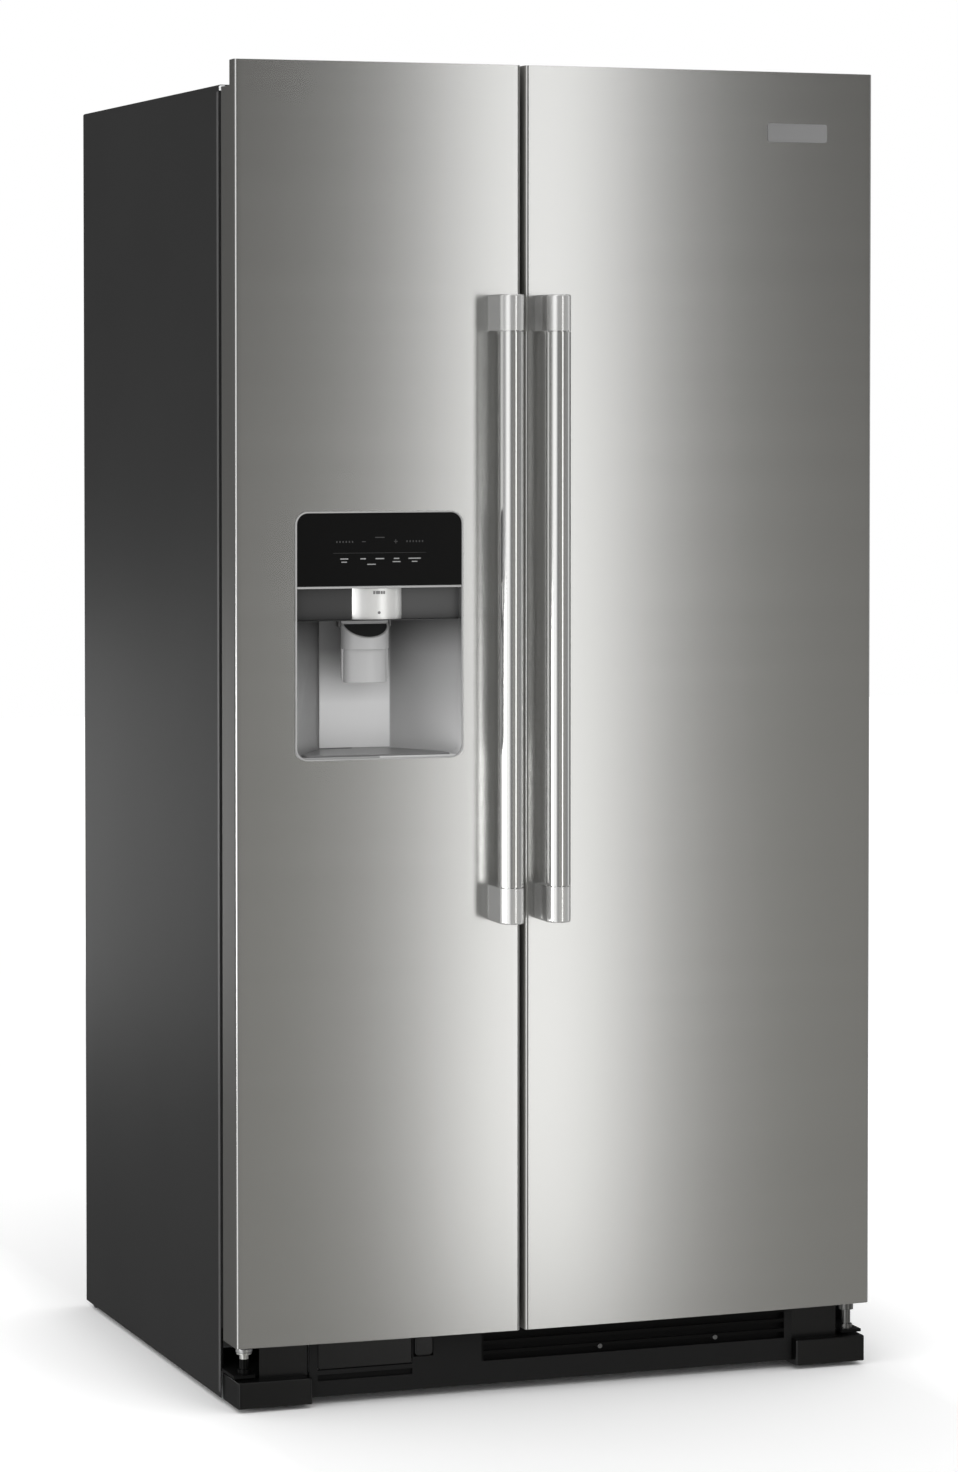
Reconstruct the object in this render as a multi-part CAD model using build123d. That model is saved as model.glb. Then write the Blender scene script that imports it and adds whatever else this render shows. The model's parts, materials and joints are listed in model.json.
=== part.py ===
from build123d import *
import math
import os

# A side by side refrigerator, in millimetres.
# +X is the viewer's right, the doors face -Y and +Z is up.
# The origin is on the floor, under the middle of the bounding box.

# Overall sizes
WIDTH = 911.0            # over both doors
HEIGHT = 1778.0          # floor to the top of the doors
CABINET_DEPTH = 692.0    # cabinet front flange to its back
SEAL_GAP = 17.0          # back of a door to the cabinet front
DOOR_DEPTH = 60.0        # thickness of a door at its outer edge
CROWN = 12.0             # bow of the two door fronts over the whole width
HANDLE_REACH = 62.0      # handle front to the crown of the doors
CABINET_LIFT = 7.0       # floor to the lower edge of the cabinet sides
DOOR_BOTTOM = 87.0       # floor to the lower edge of the doors
LIP_RISE = 29.0          # door top above the cabinet top
SIDE_REVEAL = 1.5        # cabinet side inside the outer edge of a door

# Clearances
FIT = 0.2                # between pieces of one body
RUN = 0.06               # pin in its turning hole, on the radius
SLIDE = 0.3              # between a moving piece and its seat
PAST = 2.0               # a cutting tool reaches this far past a face

# Doors
DOOR_GAP = 7.0           # between the two doors
GAP_X = -58.5            # middle of that gap
SHEET = 1.0              # steel sheet
EDGE_R = 4.5             # rolled front edges of the skins
CAP_T = 30.0             # plastic end caps
LIP_DEPTH = 22.0         # raised lip along the top of a door, front to back
SHOULDER_DROP = 33.0     # door top down to the shoulder behind the lip
LINER = 2.5              # plastic liner wall
RIM_W = 20.0             # raised rim on a door liner
RIM_DEPTH = 28.0
RIM_CLEAR = 7.0          # rim to the liner of the cabinet
BIN_DEPTH = 100.0
BIN_HEIGHT = 105.0
BIN_WALL = 2.6
BIN_R = 14.0             # rounded corners of bins and drawers
BIN_SWING = 1.0          # extra room at the free end of a bin
FRIDGE_BINS = 5
FREEZER_LOW_BINS = 3
FREEZER_HIGH_BINS = 2

# Gasket
GASKET_W = 18.0
GASKET_IN = 22.0         # gasket in from the hinge edge of a door
GASKET_FREE = 4.0        # gasket in from the free edge
GASKET_LOW = 25.0        # gasket above the lower edge of a door
GASKET_HIGH = 17.0       # gasket below the shoulder
GASKET_NECK = 4.0        # waist of the gasket, each side
GASKET_LIP = 5.0         # foot of the gasket against the liner

# Hinges
AXIS_IN = 20.0           # hinge axis in from the outer edge of a door
AXIS_BACK = 32.0         # hinge axis behind the front corner of a door
PIN_R = 6.0
PIN_DEPTH = 22.0         # pin inside an end cap
BOSS_R = 8.5
BRACKET_T = 3.0
BRACKET_IN = (40.0, 95.0)     # upper bracket, inboard of the hinge axis
BRACKET_BACK = 75.0           # upper bracket, behind the cabinet front
ARM_HALF = 7.6                # half the width of its arm at the pin
ARM_REACH = 57.0              # where the arm starts to slant back
SCREW_SHARES = (0.3, 0.75)    # screws along the bracket
SCREW_R = 5.5
SCREW_H = 4.0
COVER_T = 2.0
COVER_H = 23.0
COVER_ROUND = 3.0             # rounded top edge of a hinge cover
COVER_ROOM = 6.0              # room around the bracket inside its cover
COLLAR_R = 10.0
COLLAR_H = 13.0

# Handles
HANDLE_D = 33.0
HANDLE_OUT = 33.0        # handle axis from the middle of the door gap
HANDLE_RISE = 553.0      # handle above the lower edge of the doors
HANDLE_LENGTH = 833.0
POST_H = 48.0
POST_R = 3.0             # rounded outer end of a post
SEAM = 0.6               # dark seam between bar and post
SPIGOT_R = 13.0
SPIGOT_L = 14.0
BAR_WALL = 2.0

# Dispenser, measured in the frame of the door surface under it
DISP_X = -259.0
DISP_RISE = 772.0        # bezel above the lower edge of the doors
DISP_W = 231.0
DISP_H = 328.0
BEZEL_W = 4.5
BEZEL_R = 17.0
BEZEL_PROUD = 2.2
BEZEL_IN = 2.5           # bezel lip inside the skin
BEZEL_GRIP = 2.0         # bezel over the edge of its hole
PANEL_H = 100.0          # control panel with its silver line
LINE_H = 3.0
PANEL_T = 9.0
PANEL_SET = 0.8          # panel face behind the bezel face
HOUSING_T = 3.0
MOUTH_DEPTH = 20.0       # straight walls at the front of the recess
VALANCE_H = 43.0
RECESS_DEPTH = 118.0
RECESS_BACK_W = 101.0
CORNER_R = 12.0          # rounded corners inside the recess
CHUTE_W = 74.0
CHUTE_BULGE = 12.0
CHUTE_HOLE = (56.0, 34.0)     # ice hole over the paddle, across and deep
PADDLE_W = 65.0
PADDLE_DEPTH = 74.0      # paddle pivot behind the surface
PADDLE_DROP = 7.0        # pivot below the roof of the recess
PADDLE_H = 80.0          # pivot to the lower end of the paddle
PADDLE_T = 4.0
PADDLE_FACE_H = 41.0
PADDLE_FACE_T = 5.0
CUP_DEPTH = 24.0
CUP_H = 26.0
CUP_ROUND = 0.6          # rounding of the cup, by its depth
PIVOT_R = 3.0
BARREL_R = 5.5
LUG_T = 4.0
BUMP_HALF = 104.0        # cover over the recess on the inside of the door
BUMP_ROOM = 5.0
BUMP_EXTRA = (14.0, 55.0)     # bump below and above the bezel

# Cabinet
WALL_FREEZER = 60.0
WALL_FRIDGE = 52.0
WALL_TOP = 50.0
WALL_BACK = 62.0
DIVIDER = 67.0
DECK_RISE = 12.0         # base deck above the lower edge of the doors
DECK_T = 1.5
FLOOR_FOAM = 42.0
MACHINE_DEPTH = 240.0
MACHINE_H = 296.0
TRAY_Z = 34.0
STEP_FOAM = 43.0
BACK_INSET = 6.0         # back panel inside the cabinet's rear edge
RAIL_T = 2.0
RIB_W = 10.0             # moulded ledges under shelves and drawers
RIB_H = 7.0

# Inside of the cabinet
SHELF_SETBACK = 37.0     # shelf front behind the door bins
DRAWER_TRAVEL = 80.0     # free travel of a drawer with the door shut
DRAWER_CLEAR = 17.0
DRAWER_WALL = 3.0
DRAWER_TOP = 12.0        # drawer below the shelf over it
GRIP_T = 8.0
GRIP_H = 20.0
GRIP_W = 180.0
DELI_H = 118.0
PANE_T = 4.0
PANE_SIDE = 2.0          # pane to the wall of the liner
TRIM_H = 14.0
TRIM_D = 16.0
FRIDGE_SHELVES = 3       # above the deli drawer
FREEZER_SHELVES = 3      # between the basket and the ice bin
WIRE_R = 2.2
WIRE_BAR_R = 3.2
WIRE_STEP = 23.0
WIRE_BARS = 4
WIRE_SINK = 0.6          # wires welded this far into the bars
ICE_SHELF_DROP = 344.0   # ice bin shelf below the freezer ceiling
ICE_BIN_H = 170.0
ICE_MAKER_H = 118.0
ICE_MAKER_D = 190.0
ICE_MAKER_GAP = 14.0
ICE_MAKER_ARMS = (0.2, 0.8)   # shares of its depth
EVAP_COVER_T = 4.0
EVAP_SPACE = 56.0        # evaporator cover in front of the back wall
EVAP_H = 420.0
EVAP_FINS = 15
EVAP_TUBES = 7
FIN_T = 1.2
TUBE_R = 4.0
VENT_H = 8.0
VENTS = 5
LENS = (160.0, 110.0, 22.0)

# Base
FOOT_W = 103.0           # black covers over the front feet
FOOT_IN = 4.0            # foot cover inside the outer edge of a door
FOOT_FRONT = 4.0         # foot cover behind the front corner of a door
FOOT_Z = 6.0
FOOT_H = 35.0
FOOT_T = 2.5
FOOT_R = 4.0
SHIELD_SET = 21.0        # upper shield behind the foot cover front
SHIELD_W = 68.0
GRILLE_SET = 20.0        # grille behind the front corner of a door
GRILLE_T = 3.0
GRILLE_Z = 11.0
GRILLE_RAIL = 31.0       # plain lower rail
GRILLE_DEPTH = 14.0      # end ribs
BASE_TOP_GAP = 4.0       # grille and shields below the doors
LOUVRE_X = -103.0        # louvres start here
LOUVRES = 3
LOUVRE_BAR = 5.0
CAP_IN = 12.5            # filter cap from the left foot cover
CAP_W = 131.0
CAP_MARGIN = 1.0
CAP_DEPTH = 6.0
BUTTON_W = 26.0
BUTTON_GAP = 2.5
BUTTON_H = 27.0
BUTTON_PROUD = 6.0
BUTTON_STEM = 8.0
FILTER_R = 17.0
FILTER_L = 235.0
FILTER_WALL = 2.5
FILTER_NECK = 8.0
FILTER_NECK_R = 10.0
ROLLER_R = 15.0
ROLLER_W = 20.0
ROLLER_LIFT = 2.0        # front rollers hang clear of the floor
AXLE_R = 4.0
EAR_T = 3.0
EAR_GAP = 0.5
EAR_HALF = 9.0           # half the depth of a roller ear
LEG_X = 76.0             # leveling leg in from the outer edge of a door
LEG_R = 6.0
LEG_COLLAR_R = 9.5
LEG_PAD_R = 17.0
LEG_PAD_H = 5.0
LEG_Y = 45.0             # leveling leg behind the front corner of a door
PLATE_Z = 43.0           # lower hinge plate
PLATE_T = 4.0
BRACKET_W = 62.0
BRACKET_D = 120.0

# Machine space
COIL_R = 3.0
COIL_BEND = 18.0
COIL_PASSES = 8
COIL_X = (-215.0, 320.0)
COMPRESSOR = (-205.0, 76.0, 165.0)    # place across, radius, height
COMPRESSOR_FOOT = (12.0, 14.0)        # radius and height of the rubber feet
CAN_DOME = 0.55          # rounding of the can's top and foot, and its plate, by its radius
CAN_HEEL = 0.15
CAN_PLATE = (1.2, 0.8)
FAN_X = 95.0
FAN_R = 66.0
FAN_HUB_R = 20.0
FAN_HUB_L = 22.0
FAN_BLADES = 5
FAN_ROOM = 5.0
FAN_SHAFT_R = 3.0
STRUT_ANGLES = (45, 135, 225, 315)
STRUT_IN = 0.3           # inner end of a motor strut, by its outer end
VANE_TILT = 30.0
VANE_W = 32.0
VANE_IN = 16.0           # vanes start this far from the axis, inside the hub
MOTOR_R = 32.0
MOTOR_L = 48.0
COVER_SHEET = 2.0
COVER_VENTS = 11
INLET_R = 13.0
INLET_X = (-330.0, -270.0)

# Planes and places that follow from the sizes above
TOTAL_DEPTH = HANDLE_REACH + CROWN + DOOR_DEPTH + SEAL_GAP + CABINET_DEPTH
Y_FRONT = -TOTAL_DEPTH / 2
Y_CROWN = Y_FRONT + HANDLE_REACH
Y_CORNER = Y_CROWN + CROWN
Y_DOOR_BACK = Y_CORNER + DOOR_DEPTH
Y_CAB = Y_DOOR_BACK + SEAL_GAP
Y_BACK = Y_CAB + CABINET_DEPTH
BOW_R = (WIDTH / 2) ** 2 / (2 * CROWN) + CROWN / 2
CAB_HALF = WIDTH / 2 - SIDE_REVEAL
CAB_TOP = HEIGHT - LIP_RISE
SHOULDER_Z = HEIGHT - SHOULDER_DROP
FREEZER_DOOR = (-WIDTH / 2, GAP_X - DOOR_GAP / 2)
FRIDGE_DOOR = (GAP_X + DOOR_GAP / 2, WIDTH / 2)
AXIS_X = WIDTH / 2 - AXIS_IN
AXIS_Y = Y_CORNER + AXIS_BACK
DECK_Z = DOOR_BOTTOM + DECK_RISE
IN_LOW = DECK_Z + DECK_T + FLOOR_FOAM + LINER
IN_HIGH = CAB_TOP - WALL_TOP
IN_BACK = Y_BACK - WALL_BACK
FREEZER_IN = (-CAB_HALF + WALL_FREEZER, GAP_X - DIVIDER / 2)
FRIDGE_IN = (GAP_X + DIVIDER / 2, CAB_HALF - WALL_FRIDGE)
PANEL_Y = Y_BACK - BACK_INSET - SHEET
RISER_Y = Y_BACK - MACHINE_DEPTH
MACHINE_TOP = TRAY_Z + MACHINE_H
STEP_Y = RISER_Y - STEP_FOAM
STEP_Z = MACHINE_TOP + DECK_T + STEP_FOAM
SHELF_Y = Y_DOOR_BACK + BIN_DEPTH + SHELF_SETBACK
DRAWER_Y = Y_DOOR_BACK + BIN_DEPTH + DRAWER_TRAVEL + DRAWER_CLEAR
EVAP_Y = IN_BACK - EVAP_SPACE
COVER_Z = STEP_Z + SLIDE
DELI_Z = COVER_Z + PANE_T + TRIM_H + SLIDE
DELI_SHELF_Z = DELI_Z + DELI_H + DRAWER_TOP
ICE_SHELF_Z = IN_HIGH - ICE_SHELF_DROP
BASE_TOP = DOOR_BOTTOM - BASE_TOP_GAP
GRILLE_Y = Y_CORNER + GRILLE_SET
FOOT_Y = Y_CORNER + FOOT_FRONT
FOOT_OUT = WIDTH / 2 - FOOT_IN
FOOT_INNER = FOOT_OUT - FOOT_W
CAP_Z = (GRILLE_Z + GRILLE_RAIL + CAP_MARGIN + BASE_TOP_GAP, BASE_TOP - CAP_MARGIN)
CAP_X = (-FOOT_INNER + CAP_IN, -FOOT_INNER + CAP_IN + CAP_W)
FILTER_X = (CAP_X[0] + CAP_X[1]) / 2
FILTER_Z = (CAP_Z[0] + CAP_Z[1]) / 2


def block(x, y, z):
    """A box from its low and high coordinate along each axis."""
    sizes = [high - low for low, high in (x, y, z)]
    middle = [(high + low) / 2 for low, high in (x, y, z)]
    return Pos(*middle) * Box(*sizes)


def rod(radius, start, end):
    """A round bar from one point to another."""
    axis = Vector(*end) - Vector(*start)
    plane = Plane(origin=start, z_dir=axis)
    return plane * Cylinder(radius, axis.length, align=(Align.CENTER, Align.CENTER, Align.MIN))


def prism(points, low, high):
    """A plan outline of straight lines, raised from one height to another."""
    outline = make_face(Polyline(*points, close=True).edges())
    return Pos(0, 0, low) * extrude(outline, amount=high - low)


def plate(x, y, z, radius):
    """An upright panel across the front, with rounded corners."""
    outline = Plane.XZ * RectangleRounded(x[1] - x[0], z[1] - z[0], radius)
    return Pos((x[0] + x[1]) / 2, y[1], (z[0] + z[1]) / 2) * extrude(outline, amount=y[1] - y[0])


def tray(x, y, z, wall, radius):
    """An open-topped box with rounded upright corners."""
    place = Pos((x[0] + x[1]) / 2, (y[0] + y[1]) / 2, z[0])
    outside = RectangleRounded(x[1] - x[0], y[1] - y[0], radius)
    inside = RectangleRounded(x[1] - x[0] - 2 * wall, y[1] - y[0] - 2 * wall, radius - wall / 2)
    hollow = Pos(0, 0, wall) * extrude(inside, amount=z[1] - z[0])
    return place * (extrude(outside, amount=z[1] - z[0]) - hollow)


def sided(side, low, high):
    """A span measured outwards from the middle, on the left (-1) or right (1) side."""
    return tuple(sorted((side * low, side * high)))


def save(name, *solids):
    """Write one node; several solids share it as a group."""
    shape = solids[0] if len(solids) == 1 else Compound(children=list(solids))
    shape.label = name
    export_step(shape, "parts/" + name + ".step")


def door_front(x, inset=0.0):
    """Depth of the bowed door surface at a place across the front."""
    return Y_CROWN + BOW_R - math.sqrt((BOW_R - inset) ** 2 - x ** 2)


def door_body(door, inset, back, low, high):
    """The volume of a door: bowed front, rounded front edges, flat sides and back."""
    left = door[0] + inset
    right = door[1] - inset
    middle = (left + right) / 2
    points = [(x, door_front(x, inset)) for x in (left, middle, right)]
    front = ThreePointArc(*points)
    sides = Polyline(points[2], (right, back), (left, back), points[0])
    outline = make_face(front.edges() + sides.edges())
    corners = outline.vertices().sort_by(Axis.Y)[:2]
    outline = fillet(corners, EDGE_R - inset)
    return Pos(0, 0, low) * extrude(outline, amount=high - low)


def dispenser_place():
    """The frame of the door surface at the middle of the dispenser."""
    tilt = math.degrees(math.asin(DISP_X / BOW_R))
    return Location((DISP_X, door_front(DISP_X), 0), (0, 0, tilt))


DISP_LOW = DOOR_BOTTOM + DISP_RISE
DISP_HIGH = DISP_LOW + DISP_H
LINE_Z = DISP_HIGH - PANEL_H
RECESS_LOW = DISP_LOW + BEZEL_W + FIT + HOUSING_T
MOUTH_R = BEZEL_R - BEZEL_W - HOUSING_T
ROOF_Z = LINE_Z - VALANCE_H
MOUTH_HALF = DISP_W / 2 - BEZEL_W - FIT - HOUSING_T
BUMP_Z = (DISP_LOW - BUMP_EXTRA[0], DISP_HIGH + BUMP_EXTRA[1])
BUMP_Y = door_front(DISP_X) + RECESS_DEPTH + HOUSING_T + BUMP_ROOM + LINER


def dispenser_hole(reach, inset=0.0):
    """The hole in the skin that the bezel closes, or a smaller one inside it."""
    grip = BEZEL_GRIP + inset
    half = DISP_W / 2 - grip
    high = (DISP_LOW + grip, DISP_HIGH - grip)
    return dispenser_place() * plate((-half, half), (-reach, reach), high, BEZEL_R - grip)


def door_skin(door):
    """Folded steel front with its two side returns, cut down behind the top lip."""
    skin = door_body(door, 0, Y_DOOR_BACK, DOOR_BOTTOM, HEIGHT)
    skin -= door_body(door, SHEET, Y_DOOR_BACK + PAST, DOOR_BOTTOM - PAST, HEIGHT + PAST)
    across = (door[0] - PAST, door[1] + PAST)
    behind = (Y_CORNER + LIP_DEPTH, Y_DOOR_BACK + PAST)
    return skin - block(across, behind, (SHOULDER_Z, HEIGHT + PAST))


def door_caps(door, axis_x):
    """Top cap with the raised lip, and bottom cap, each with its hinge bush."""
    inset = SHEET + FIT
    back = Y_DOOR_BACK - LINER - FIT
    top = door_body(door, inset, back, SHOULDER_Z - CAP_T, SHOULDER_Z)
    top += door_body(door, inset, Y_CORNER + LIP_DEPTH, SHOULDER_Z, HEIGHT)
    low = door_body(door, inset, back, DOOR_BOTTOM, DOOR_BOTTOM + CAP_T)
    hole = PIN_R + RUN
    bush_end = SHOULDER_Z - PIN_DEPTH - PAST
    top -= rod(hole, (axis_x, AXIS_Y, bush_end), (axis_x, AXIS_Y, SHOULDER_Z + PAST))
    bush_end = DOOR_BOTTOM + PIN_DEPTH + PAST
    low -= rod(hole, (axis_x, AXIS_Y, DOOR_BOTTOM - PAST), (axis_x, AXIS_Y, bush_end))
    return top, low


def door_foam(door):
    """Insulation between the caps, behind the skin."""
    back = Y_DOOR_BACK - LINER - FIT
    low = DOOR_BOTTOM + CAP_T + FIT
    return door_body(door, SHEET + FIT, back, low, SHOULDER_Z - CAP_T - FIT)


def rim_span(side):
    """Outer faces of the raised rim on a door liner; it clears the cabinet liner as the door swings."""
    inside = FREEZER_IN if side < 0 else FRIDGE_IN
    if side < 0:
        return inside[0] + RIM_CLEAR, inside[1] - RIM_CLEAR - BIN_SWING
    return inside[0] + RIM_CLEAR, inside[1] - RIM_CLEAR + BIN_SWING


def door_liner(door, side):
    """Inner panel of a door, and the four rails around it that hold the bins."""
    across = (door[0] + SHEET + FIT, door[1] - SHEET - FIT)
    panel = block(across, (Y_DOOR_BACK - LINER, Y_DOOR_BACK), (DOOR_BOTTOM, SHOULDER_Z))
    rim = rim_span(side)
    high = (IN_LOW + RIM_CLEAR, IN_HIGH - RIM_CLEAR)
    deep = (Y_DOOR_BACK + FIT, Y_DOOR_BACK + RIM_DEPTH)
    left = block((rim[0], rim[0] + RIM_W), deep, high)
    left = fillet(left.edges().filter_by(Axis.Y).group_by(Axis.X)[0], RIM_W / 2)
    right = block((rim[1] - RIM_W, rim[1]), deep, high)
    right = fillet(right.edges().filter_by(Axis.Y).group_by(Axis.X)[-1], RIM_W / 2)
    between = (rim[0] + RIM_W + FIT, rim[1] - RIM_W - FIT)
    low_rail = block(between, deep, (high[0], high[0] + RIM_W))
    top_rail = block(between, deep, (high[1] - RIM_W, high[1]))
    return panel, [left, right, low_rail, top_rail]


def gasket(door, side):
    """Magnetic seal: a foot on the liner, a narrow bellows and a wide sealing face."""
    outer = [door[0] + GASKET_IN, door[1] - GASKET_FREE]
    if side > 0:
        outer = [door[0] + GASKET_FREE, door[1] - GASKET_IN]
    high = (DOOR_BOTTOM + GASKET_LOW, SHOULDER_Z - GASKET_HIGH)
    deep = SEAL_GAP - FIT
    face = deep - GASKET_LIP
    steps = [(0.0, 0.0, GASKET_LIP), (GASKET_NECK, GASKET_LIP, face), (0.0, face, deep)]
    seal = None
    for waist, start, end in steps:
        y = (Y_DOOR_BACK + start, Y_DOOR_BACK + end)
        cut = (y[0] - PAST, y[1] + PAST)
        grown = block((outer[0] + waist, outer[1] - waist), y, (high[0] + waist, high[1] - waist))
        core = GASKET_W - waist
        grown -= block((outer[0] + core, outer[1] - core), cut, (high[0] + core, high[1] - core))
        seal = grown if seal is None else seal + grown
    return seal


def handle(door, x):
    """Round bar with a spigot at each end, and the two posts that carry it."""
    y = Y_FRONT + HANDLE_D / 2
    radius = HANDLE_D / 2
    low = DOOR_BOTTOM + HANDLE_RISE
    high = low + HANDLE_LENGTH
    bar = rod(radius, (x, y, low + POST_H + SEAM), (x, y, high - POST_H - SEAM))
    spigot = (low + POST_H - SPIGOT_L, high - POST_H + SPIGOT_L)
    bar += rod(SPIGOT_R, (x, y, spigot[0]), (x, y, spigot[1]))
    bar -= rod(SPIGOT_R - BAR_WALL, (x, y, spigot[0] - PAST), (x, y, spigot[1] + PAST))
    posts = []
    for start, end in ((low, low + POST_H), (high - POST_H, high)):
        post = block((x - radius, x + radius), (y, Y_CORNER), (start, end))
        post += rod(radius, (x, y, start), (x, y, end))
        outer_end = post.faces().sort_by(Axis.Z)[0 if start == low else -1]
        post = fillet(outer_end.edges(), POST_R)
        post -= door_body(door, -FIT / 2, Y_DOOR_BACK, DOOR_BOTTOM, HEIGHT)
        post -= rod(SPIGOT_R + FIT, (x, y, spigot[0] - FIT), (x, y, spigot[1] + FIT))
        posts.append(post)
    return bar, posts


def bin_levels(low, high, count):
    """Heights of evenly spread bins in a stretch of the door."""
    pitch = (high - low) / count
    return [low + pitch * index for index in range(count)]


def door_bins(side):
    """Open bins hung between the rims of a door liner."""
    rim = rim_span(side)
    across = (rim[0] + RIM_W + SLIDE, rim[1] - RIM_W - SLIDE)
    deep = (Y_DOOR_BACK + SLIDE, Y_DOOR_BACK + BIN_DEPTH)
    low = IN_LOW + RIM_CLEAR + RIM_W + SLIDE
    high = IN_HIGH - RIM_CLEAR - RIM_W
    levels = bin_levels(low, high, FRIDGE_BINS)
    if side < 0:
        levels = bin_levels(low, BUMP_Z[0], FREEZER_LOW_BINS)
        levels += bin_levels(BUMP_Z[1] + RIM_W, high, FREEZER_HIGH_BINS)
    return [tray(across, deep, (z, z + BIN_HEIGHT), BIN_WALL, BIN_R) for z in levels]


def tub(inside, grow, front):
    """Inner volume of a compartment with the step over the machine space, grown by a wall."""
    wide = (inside[0] - grow, inside[1] + grow)
    volume = block(wide, (front, IN_BACK + grow), (IN_LOW - grow, IN_HIGH + grow))
    step_y = (STEP_Y + grow, IN_BACK + grow + PAST)
    across = (inside[0] - grow - PAST, inside[1] + grow + PAST)
    return volume - block(across, step_y, (IN_LOW - grow - PAST, STEP_Z - grow))


def ledge_pair(inside, top, y):
    """Two moulded ledges on the side walls, under a shelf or a drawer."""
    left = block((inside[0] - FIT, inside[0] + RIB_W), y, (top - RIB_H, top))
    right = block((inside[1] - RIB_W, inside[1] + FIT), y, (top - RIB_H, top))
    return [left, right]


def floor_runners(inside):
    """Two runners on the floor that a drawer slides on."""
    reach = (DRAWER_Y - DRAWER_TRAVEL / 2, STEP_Y)
    left = block((inside[0] - FIT, inside[0] + RIB_W + RIB_H), reach, (IN_LOW - FIT, IN_LOW + RIB_H))
    right = block((inside[1] - RIB_W - RIB_H, inside[1] + FIT), reach, (IN_LOW - FIT, IN_LOW + RIB_H))
    return [left, right]


FRIDGE_LEVELS = [COVER_Z, DELI_SHELF_Z]
SHELF_PITCH = (IN_HIGH - DELI_SHELF_Z) / (FRIDGE_SHELVES + 1)
FRIDGE_LEVELS += [DELI_SHELF_Z + SHELF_PITCH * (index + 1) for index in range(FRIDGE_SHELVES)]
WIRE_LEVELS = [COVER_Z]
WIRE_PITCH = (ICE_SHELF_Z - COVER_Z) / (FREEZER_SHELVES + 1)
WIRE_LEVELS += [COVER_Z + WIRE_PITCH * (index + 1) for index in range(FREEZER_SHELVES + 1)]


def cabinet_liner(inside, levels, drawers):
    """Plastic tub of a compartment with its ledges and runners."""
    shell = tub(inside, LINER, Y_CAB) - tub(inside, 0, Y_CAB - PAST)
    for z in levels:
        back = STEP_Y + FIT if z == COVER_Z else EVAP_Y - PAST
        for ledge in ledge_pair(inside, z - SLIDE, (SHELF_Y + TRIM_D, back)):
            shell += ledge
    for z in drawers:
        for ledge in ledge_pair(inside, z - SLIDE, (DRAWER_Y - DRAWER_TRAVEL / 2, EVAP_Y - PAST)):
            shell += ledge
    for runner in floor_runners(inside):
        shell += runner
    return shell


def cabinet_wrapper():
    """Sides, top and front flanges of the outer case."""
    deep = (Y_CAB, Y_BACK)
    tall = (CABINET_LIFT, CAB_TOP)
    case = block((-CAB_HALF, CAB_HALF), deep, tall)
    case = fillet(case.edges().filter_by(Axis.Y).sort_by(Axis.Z)[-2:], SHEET * 3)
    within = (-CAB_HALF + SHEET, CAB_HALF - SHEET)
    case -= block(within, (Y_CAB - PAST, Y_BACK + PAST), (CABINET_LIFT - PAST, CAB_TOP - SHEET))
    front = (Y_CAB, Y_CAB + SHEET)
    flange_low = DECK_Z + DECK_T + FIT
    edge = LINER + FIT
    case += block((within[0] - FIT, FREEZER_IN[0] - edge), front, (flange_low, CAB_TOP - SHEET))
    case += block((FRIDGE_IN[1] + edge, within[1] + FIT), front, (flange_low, CAB_TOP - SHEET))
    top_flange = (FREEZER_IN[0] - edge - FIT, FRIDGE_IN[1] + edge + FIT)
    case += block(top_flange, front, (IN_HIGH + edge, CAB_TOP - SHEET / 2))
    return case


def base_deck():
    """Stepped floor sheet: front flange, deck, riser, roof and tray of the machine space."""
    half = CAB_HALF - SHEET - FIT
    across = (-half, half)
    rear = (RISER_Y, PANEL_Y - FIT)
    deck = block(across, (Y_CAB, RISER_Y + DECK_T), (DECK_Z, DECK_Z + DECK_T))
    inner = (FREEZER_IN[0] - LINER, FRIDGE_IN[1] + LINER)
    deck += block(inner, (Y_CAB, Y_CAB + DECK_T), (DECK_Z, IN_LOW - LINER - FIT))
    deck += block(across, (RISER_Y, RISER_Y + DECK_T), (DECK_Z, MACHINE_TOP + DECK_T))
    deck += block(across, rear, (MACHINE_TOP, MACHINE_TOP + DECK_T))
    deck += block(across, rear, (TRAY_Z, TRAY_Z + DECK_T))
    for side in (-1, 1):
        deck += block(sided(side, half - DECK_T, half), rear, (TRAY_Z, MACHINE_TOP + DECK_T))
        for ear in roller_ears(side, REAR_ROLLER_Y, ROLLER_R, TRAY_Z + FIT):
            deck += ear
    return deck


REAR_ROLLER_Y = PANEL_Y - ROLLER_R - BUMP_ROOM
FRONT_ROLLER_Y = Y_CAB + BRACKET_D - ROLLER_R - BUMP_ROOM
ROLLER_OUT = CAB_HALF - SHEET - FIT - EAR_T - EAR_GAP


def roller_ears(side, y, z, top):
    """Two ears and the axle between them."""
    outer = sided(side, ROLLER_OUT + EAR_GAP, ROLLER_OUT + EAR_GAP + EAR_T)
    inner_face = ROLLER_OUT - ROLLER_W - EAR_GAP
    inner = sided(side, inner_face - EAR_T, inner_face)
    deep = (y - EAR_HALF, y + EAR_HALF)
    axle = rod(AXLE_R, (side * (inner_face - EAR_T), y, z), (side * (ROLLER_OUT + EAR_GAP + EAR_T), y, z))
    return [block(outer, deep, (z - AXLE_R * 2, top)), block(inner, deep, (z - AXLE_R * 2, top)), axle]


def roller(side, y, z):
    """A grooved wheel with a bore that turns on its axle."""
    start = (side * (ROLLER_OUT - ROLLER_W), y, z)
    end = (side * ROLLER_OUT, y, z)
    wheel = rod(ROLLER_R, start, end)
    wheel = fillet(wheel.edges().filter_by(GeomType.CIRCLE), ROLLER_R / 8)
    return wheel - rod(AXLE_R + RUN, start, end)


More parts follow.
